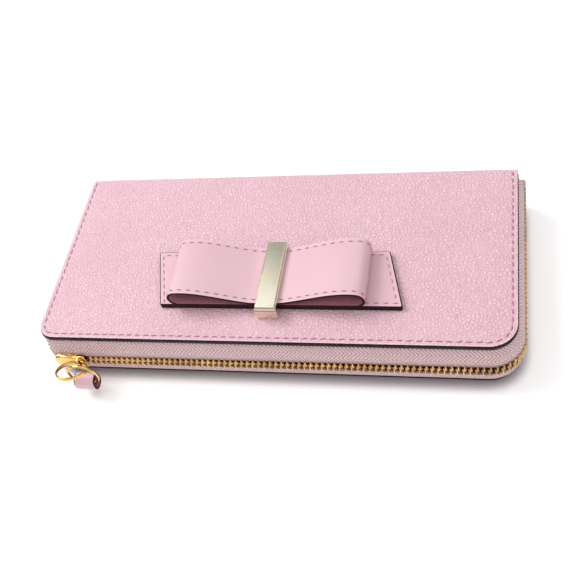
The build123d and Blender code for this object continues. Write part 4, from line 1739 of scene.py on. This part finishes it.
@dataclass
class Bow(SubAssembly):
    """The bow: tails, the folded loop and the metal bar over its pinch."""

    x: float = 1.5
    back: float = -2.4
    width: float = 26.6
    cover_top: float = 24.0
    tail_length: float = 97.0
    tail_slant: float = 6.8
    tail_thickness: float = 2.4
    leather: float = 1.1
    end_radius: float = 4.2
    half_length: float = 39.5
    loop_shift: float = -1.2
    overhang: float = 0.5
    bend_end: float = 78.0
    knee: float = 5.6
    leaving: float = 0.62
    landing: float = 0.16
    pinch_half: float = 2.8
    pinch_top: float = 28.8
    bar_width: float = 8.6
    bar_front: float = -33.6
    bar_back: float = -0.6
    bar_top: float = 31.2
    bar_leg: float = 1.6

    @property
    def front(self) -> float:
        """Front edge of the tails and the loop."""
        return self.back - self.width

    def tail_outline(self, radius: float) -> Callable[[float], list[Flat]]:
        """Outline of the tails.

        Args:
            radius: radius of the corners.

        Returns:
            A function from an inset to the closed outline's points.
        """
        shift, half = self.tail_slant / 2, self.tail_length / 2
        corners = (
            (self.x - half + shift, self.front), (self.x + half + shift, self.front),
            (self.x + half - shift, self.back), (self.x - half - shift, self.back),
        )
        return corner_outline(corners, radius, 5)

    def build_tails(self) -> None:
        """Flat strip with slanted ends, its painted edge and its stitches."""
        shell = Shell()
        base, top = self.cover_top, self.cover_top + self.tail_thickness
        outline = self.tail_outline(0.7)
        shell.stack(
            outline,
            (
                (0.25, base), (0.0, base + 0.2), (-0.06, base + 1.1), (-0.04, base + 1.8),
                (0.04, top - 0.25), (0.2, top - 0.07), (0.42, top - 0.03), (1.2, top),
                (1.55, top - 0.05), (1.8, top - 0.14), (2.05, top - 0.05), (3.0, top),
            ),
            slots=[1] * 6 + [0] * 5,
        )
        made = shell.build("bow_tail_strip", (self.finishes.smooth, self.finishes.paint))
        settle(made, "front_cover", ("bow_tails",))
        seam = outline(1.8)
        line = [(x, y, top - 0.02) for x, y in seam + seam[:1]]
        made = self.threads.run(
            "bow_tail_stitches", [line], self.finishes.thread,
            Pitch=0.0037, Stitch=0.0019, Width=0.0004, Height=0.0004, Slant=0.05,
        )
        settle(made, "front_cover")

    def loop_path(self) -> list[tuple[float, float, float, float]]:
        """Outside of the loop in its side view.

        Returns:
            Each point's x and z with its outward direction.
        """
        low = self.cover_top + self.tail_thickness
        turn_x = self.half_length - self.end_radius
        turn_z = low + self.end_radius
        bottom = [(x, low) for x in spread(0.0, turn_x, 16)]
        bend = arc((turn_x, turn_z), self.end_radius, -90, self.bend_end, 16)[1:]
        (x0, z0), knee, pinch = bend[-1], self.knee, self.pinch_top
        turn = math.radians(self.bend_end)
        reach = x0 - knee
        top = []
        for t in spread(0.0, 1.0, 30)[1:]:
            h00, h10 = 2 * t**3 - 3 * t**2 + 1, t**3 - 2 * t**2 + t
            h01, h11 = -2 * t**3 + 3 * t**2, t**3 - t**2
            px = h00 * x0 + h10 * -math.sin(turn) * reach + h01 * knee - h11 * reach
            pz = h00 * z0 + h10 * math.cos(turn) * reach * self.leaving
            top.append((px, pz + h01 * pinch - h11 * reach * self.landing))
        half = bottom + bend + top + [(self.pinch_half, self.pinch_top)]
        flat = half + [(0.0, self.pinch_top)] + [(-x, z) for x, z in reversed(half)][:-1]
        path = []
        for k, (x, z) in enumerate(flat):
            before, after = flat[k - 1], flat[(k + 1) % len(flat)]
            tangent = Vector((after[0] - before[0], after[1] - before[1])).normalized()
            path.append((self.x + self.loop_shift + x, z, tangent.y, -tangent.x))
        return path

    def build_loop(self) -> None:
        """Band of leather folded into two open loops, with painted cut edges."""
        shell, rows = Shell(), []
        t, w, front = self.leather, self.width + self.overhang, self.front - self.overhang
        section = [
            (0.16, 0.03, 0), (0.45, 0.01, 0), (1.2, 0.0, 0), (1.55, 0.05, 0), (1.75, 0.12, 0),
            (1.95, 0.05, 0), (2.6, 0.0, 0), (w / 2, -0.04, 0), (w - 2.6, 0.0, 0), (w - 1.95, 0.05, 0),
            (w - 1.75, 0.12, 0), (w - 1.55, 0.05, 0), (w - 1.2, 0.0, 0), (w - 0.45, 0.01, 0),
            (w - 0.16, 0.03, 1),
            (w + 0.02, 0.3, 1), (w, t - 0.2, 1), (w - 0.2, t + 0.05, 2), (0.2, t + 0.05, 1),
            (0.0, t - 0.2, 1), (-0.02, 0.3, 1),
        ]
        path = self.loop_path()
        for x, z, out_x, out_z in path:
            rows.append([(x - out_x * d, front + y, z - out_z * d) for y, d, _ in section])
        slots = [entry[2] for entry in section]
        insets = [min(y, w - y) if d < 0.2 else 0.0 for y, d, _ in section]
        shell.loft(rows, slots, ring=True, insets=insets)
        # The loop's inner face takes the darker flesh-side tone, partly painted shade.
        tones = (self.finishes.smooth, self.finishes.paint, self.finishes.flesh_side_with_painted_shade)
        made = shell.build("bow_loop_band", tones, sharp=50)
        settle(made, "front_cover", ("bow_loop",))
        seams = []
        for y in (front + 1.75, self.back - 1.75):
            seams.append([(x + out_x * 0.02, y, z + out_z * 0.02) for x, z, out_x, out_z in path])
        made = self.threads.run(
            "bow_loop_stitches", seams, self.finishes.thread,
            Pitch=0.0037, Stitch=0.0019, Width=0.0004, Height=0.0004, Slant=0.05,
        )
        settle(made, "front_cover")

    def build_bar(self) -> None:
        """Bevelled bar with a leg and a prong at each end."""
        shell = Shell()
        left, right = self.x - self.bar_width / 2, self.x + self.bar_width / 2
        front, back, base, low = self.bar_front, self.bar_back, self.cover_top, self.pinch_top
        shell.stack(
            corner_outline(rectangle(left, front, right, back), 0.25, 3),
            (
                (0.3, low), (0.05, low + 0.1), (0.0, low + 0.3), (0.0, low + 1.6), (0.07, low + 1.75),
                (0.6, low + 2.32), (0.7, low + 2.38), (0.9, self.bar_top),
            ),
        )
        for y0, y1 in ((front, front + self.bar_leg), (back - self.bar_leg, back)):
            shell.stack(
                corner_outline(rectangle(left, y0, right, y1), 0.25, 3),
                ((0.25, base), (0.0, base + 0.25), (0.0, low + 0.6)),
            )
            y = (y0 + y1) / 2
            prong = rectangle(self.x - 3.0, y - 0.4, self.x + 3.0, y + 0.4)
            shell.stack(corner_outline(prong, 0.2, 2), ((0.1, base - 2.2), (0.0, base + 0.1)))
        made = shell.build("bow_metal_bar", (self.finishes.bar,), sharp=28)
        settle(made, "front_cover", ("bow_bar",))

    def build(self) -> None:
        """Build and dress the bow."""
        self.build_tails()
        self.build_loop()
        self.build_bar()


# -------------------------------------------------------- the coin pocket


@dataclass
class CoinPocket(SubAssembly):
    """Pocket on the spine with its own short zip, and the spine's lining."""

    half_length: float = 80.0
    front: float = -33.0
    back: float = 42.2
    low: float = 10.0
    high: float = 14.0
    wall: float = 0.8
    seam_x: float = 78.0
    tape_x: float = 79.0
    teeth_x: float = 73.4
    half_pitch: float = 1.15
    slider_x: float = -66.0

    def build_pocket(self) -> None:
        """Two leather walls joined at the back and closed at both ends."""
        shell = Shell()
        front, back, mid = self.front, self.back, (self.low + self.high) / 2
        half = (self.high - self.low) / 2
        inside = half - self.wall
        section = [
            (front + 0.25, mid - inside), (front, mid - inside - 0.3), (front + 0.15, mid - half + 0.1),
            (front + 0.6, mid - half), (back - 0.6, mid - half), (back, mid - half + 0.5),
            (back, mid + half - 0.5), (back - 0.6, mid + half), (front + 0.6, mid + half),
            (front + 0.15, mid + half - 0.1), (front, mid + inside + 0.3), (front + 0.25, mid + inside),
            (back - 1.0, mid + inside), (back - 1.0, mid - inside),
        ]
        end = self.half_length - self.wall
        shell.loft([[(x, y, z) for y, z in section] for x in spread(-end, end, 12)])
        for hand in (-1, 1):
            x0, x1 = sorted((hand * self.half_length, hand * (self.half_length - 0.85)))
            shell.stack(
                corner_outline(rectangle(x0, front, x1, back), 0.3, 3),
                ((0.25, self.low), (0.0, self.low + 0.25), (0.0, self.high - 0.25), (0.25, self.high)),
            )
        made = shell.build("coin_pocket_walls", (self.finishes.card,))
        settle(made, "spine", ("coin_pocket",))
        seams = []
        for z in (self.low - 0.02, self.high + 0.02):
            seams.append([(x, front + 5.2, z) for x in spread(-self.seam_x, self.seam_x, 40)])
            for x in (-self.seam_x, self.seam_x):
                seams.append([(x, y, z) for y in spread(front + 6, back - 2, 20)])
        made = self.threads.run(
            "coin_pocket_stitches", seams, self.finishes.thread,
            Pitch=0.003, Stitch=0.0021, Width=0.0004, Height=0.0002, Slant=0.08,
        )
        settle(made, "spine")

    def build_zip(self) -> None:
        """Tapes in the pocket's mouth with two rows of small teeth."""
        shell = Shell()
        mid = (self.low + self.high) / 2
        for hand in (-1, 1):
            z0, z1 = sorted((mid + hand * 1.2, mid + hand * 0.7))
            section = rectangle(self.front + 0.05, z0, self.front + 5, z1)
            rows = [[(x, y, z) for y, z in section] for x in spread(-self.tape_x, self.tape_x, 40)]
            shell.loft(rows, lengths=(spread(0, 2 * self.tape_x, 40), [0, 5, 5.5, 10.5, 11]))
        made = shell.build("coin_pocket_tapes", (self.finishes.tape,))
        settle(made, "spine", ("coin_zip_tape",))
        for name, late, z, head in (
            ("lower", 0.0, mid - 0.5, 1.0), ("upper", self.half_pitch, mid + 0.5, -1.0)
        ):
            steps = spread(late - self.teeth_x, self.teeth_x, 60)
            line = [(x, self.front - 0.7, z) for x in steps]
            made = self.teeth.run(
                f"coin_pocket_teeth_{name}", [line], self.finishes.teeth,
                Pitch=0.0023, Length=0.00095, Depth=0.0013, Height=0.0016, Head=head,
            )
            settle(made, "spine", ("coin_zip_teeth",) if name == "lower" else ())

    def build_slider(self) -> None:
        """Small slider with a flat puller."""
        shell = Shell()
        x0, _, z0, x1, _, z1 = extent("coin_slider_body")
        face = self.front - 1.6
        shell.stack(
            corner_outline(rectangle(x0, z0, x1, z1), 1.3, 6),
            (
                (0.2, face + 0.05), (0.0, face - 0.1), (0.0, face - 0.4), (0.15, face - 0.6),
                (0.5, face - 0.7),
            ),
            upright,
        )
        for z in (z0 + 0.35, z1 - 0.35):
            rail = corner_outline(rectangle(x0 + 1.2, z - 0.35, x1 - 1.2, z + 0.35), 0.2, 3)
            shell.stack(rail, ((0.0, face), (0.1, face + 1.4)), upright)
        mid, middle_x = (z0 + z1) / 2, self.slider_x
        lug = rectangle(middle_x - 1.35, mid - 0.7, middle_x + 1.35, mid + 0.7)
        levels = ((0.0, face - 0.6), (0.05, face - 1.75), (0.3, face - 1.95))
        shell.stack(corner_outline(lug, 0.4, 3), levels, upright)
        made = shell.build("coin_slider_plates", (self.finishes.gold,))
        settle(made, "coin_slider", ("coin_slider_body",))
        x0, y0, z0, x1, y1, z1 = extent("coin_slider_pull")
        pull, rows = Shell(), []
        outline = corner_outline(rectangle(x0, z0, x1, z1), 1.2, 6)(0.0)
        eye = rectangle(middle_x - 1.5, mid - 0.9, middle_x + 1.5, mid + 0.9)
        hole = corner_outline(eye, 0.5, 6)(0.0)
        for (u, v), (a, b) in zip(outline, hole):
            rows.append([
                (u, y0 + 0.15, v), (u, y1 - 0.15, v), (u + (a - u) * 0.08, y1, v + (b - v) * 0.08),
                (a, y1, b), (a, y0, b), (u + (a - u) * 0.08, y0, v + (b - v) * 0.08),
            ])
        pull.loft(rows, ring=True)
        made = pull.build("coin_slider_puller", (self.finishes.gold,))
        settle(made, "coin_slider", ("coin_slider_pull",))

    def build_spine_lining(self) -> None:
        """Cloth inside the spine."""
        x0, y0, z0, x1, y1, z1 = extent("spine_lining")
        shell = Shell()
        outline = corner_outline(rectangle(x0, z0, x1, z1), 0.6, 4)
        shell.stack(outline, ((0.0, y1), (0.0, y0 + 0.2), (0.2, y0)), upright)
        made = shell.build("spine_lining_cloth", (self.finishes.lining,))
        settle(made, "spine", ("spine_lining",))

    def build(self) -> None:
        """Build and dress the coin pocket and the spine's lining."""
        self.build_pocket()
        self.build_zip()
        self.build_slider()
        self.build_spine_lining()


# -------------------------------------------------------------- the studio


@dataclass
class Studio:
    """Pale floor, soft light and the camera."""

    camera_place: Point = (0.090218, -0.206727, 0.286469)
    camera_right: Point = (0.96907, 0.14865, -0.19700)
    camera_up: Point = (-0.00656, 0.81347, 0.58157)
    camera_back: Point = (0.24670, -0.56229, 0.78929)
    lens: float = 52.47
    floor_half: float = 3000.0
    # Reach in metres of the floor's painted contact shadow, then the strength of its glow.
    painted_shadow_reach: float = 0.0065
    glow: float = 0.2
    lamps: tuple = field(default_factory=lambda: (
        ("key", (-0.75, 0.25, 0.85), 0.6, 8.2),
        ("fill", (0.6, -0.5, 0.9), 0.9, 1.8),
    ))

    def build_camera(self) -> None:
        """Camera at the viewing angle."""
        data = bpy.data.cameras.new("camera")
        data.lens, data.sensor_width = self.lens, 36.0
        data.clip_start, data.clip_end = 0.01, 20.0
        made = bpy.data.objects.new("camera", data)
        columns = (self.camera_right, self.camera_up, self.camera_back)
        turn = Matrix([[columns[c][r] for c in range(3)] for r in range(3)]).to_4x4()
        made.matrix_world = Matrix.Translation(self.camera_place) @ turn
        bpy.context.scene.collection.objects.link(made)
        bpy.context.scene.camera = made

    def build_floor(self) -> None:
        """Pale floor that glows a little, with a painted contact shadow where ambient occlusion darkens
        its colour and dims its glow.
        """
        material, graph, shader = start_material("floor_paper")
        where = graph.add("ShaderNodeTexCoord").outputs["Object"]
        cloudy = graph.noise(where, 3.0, 2.0)
        share = graph.math("MULTIPLY", cloudy, 0.15)
        paper = graph.blend(share, tone(252, 252, 252), tone(246, 246, 247))
        # Painted contact shadow: ambient occlusion within this reach darkens the floor's colour towards
        # a grey and dims its glow.
        shade = graph.add("ShaderNodeAmbientOcclusion", {"Distance": self.painted_shadow_reach}, samples=12)
        clear = graph.remap(shade.outputs["AO"], 0.45, 0.95)
        light = graph.blend(clear, (0.0, 0.0, 0.0, 1.0), (1.0, 1.0, 1.0, 1.0))
        graph.feed(shader, {"Base Color": graph.blend(clear, tone(186, 181, 184), paper)})
        graph.feed(shader, {"Emission Color": light, "Emission Strength": self.glow})
        graph.feed(shader, {"Roughness": 0.9, "Specular IOR Level": 0.1})
        shell, far = Shell(), self.floor_half
        shell.row([(x, y, -0.02) for x, y in rectangle(-far, -far, far, far)])
        shell.face([0, 1, 2, 3])
        shell.build("floor", (material,))

    def build_light(self) -> None:
        """Soft lamps and an even sky that is darker near the horizon."""
        for name, place, size, power in self.lamps:
            data = bpy.data.lights.new(name, "AREA")
            data.energy, data.size = power, size
            lamp = bpy.data.objects.new(name, data)
            lamp.location = place
            lamp.rotation_euler = (-Vector(place)).to_track_quat("-Z", "Y").to_euler()
            bpy.context.scene.collection.objects.link(lamp)
        world = bpy.data.worlds.new("studio")
        world.use_nodes = True
        graph = Graph(world.node_tree)
        where = graph.add("ShaderNodeTexCoord").outputs["Generated"]
        height = graph.add("ShaderNodeSeparateXYZ", {0: where}).outputs[2]
        overhead = graph.remap(height, 0.7, 0.84)
        sky = graph.blend(overhead, (0.42, 0.42, 0.41, 1), (1.1, 1.1, 1.12, 1))
        graph.feed(world.node_tree.nodes["Background"], {"Color": sky, "Strength": 1.0})
        bpy.context.scene.world = world
        bpy.context.scene.view_settings.view_transform = "Standard"

    def build(self) -> None:
        """Build the studio."""
        self.build_camera()
        self.build_floor()
        self.build_light()


def main() -> None:
    """Build the wallet piece by piece."""
    logging.basicConfig(level=logging.INFO, format="%(message)s")
    sizes = Sizes.from_frame()
    Studio().build()
    shared = (Finishes(), ThreadRun("thread_run"), ToothRun("tooth_run"))
    for side in Side:
        Cover(*shared, sizes, side).build()
    ZipHalf(*shared, sizes, Side.BACK).build()
    ZipHalf(*shared, sizes, Side.FRONT, first_tooth=1.725).build()
    ZipPull.from_frame(*shared).build()
    Bow(*shared, cover_top=sizes.thickness).build()
    CoinPocket(*shared).build()


if __name__ == "__main__":
    main()
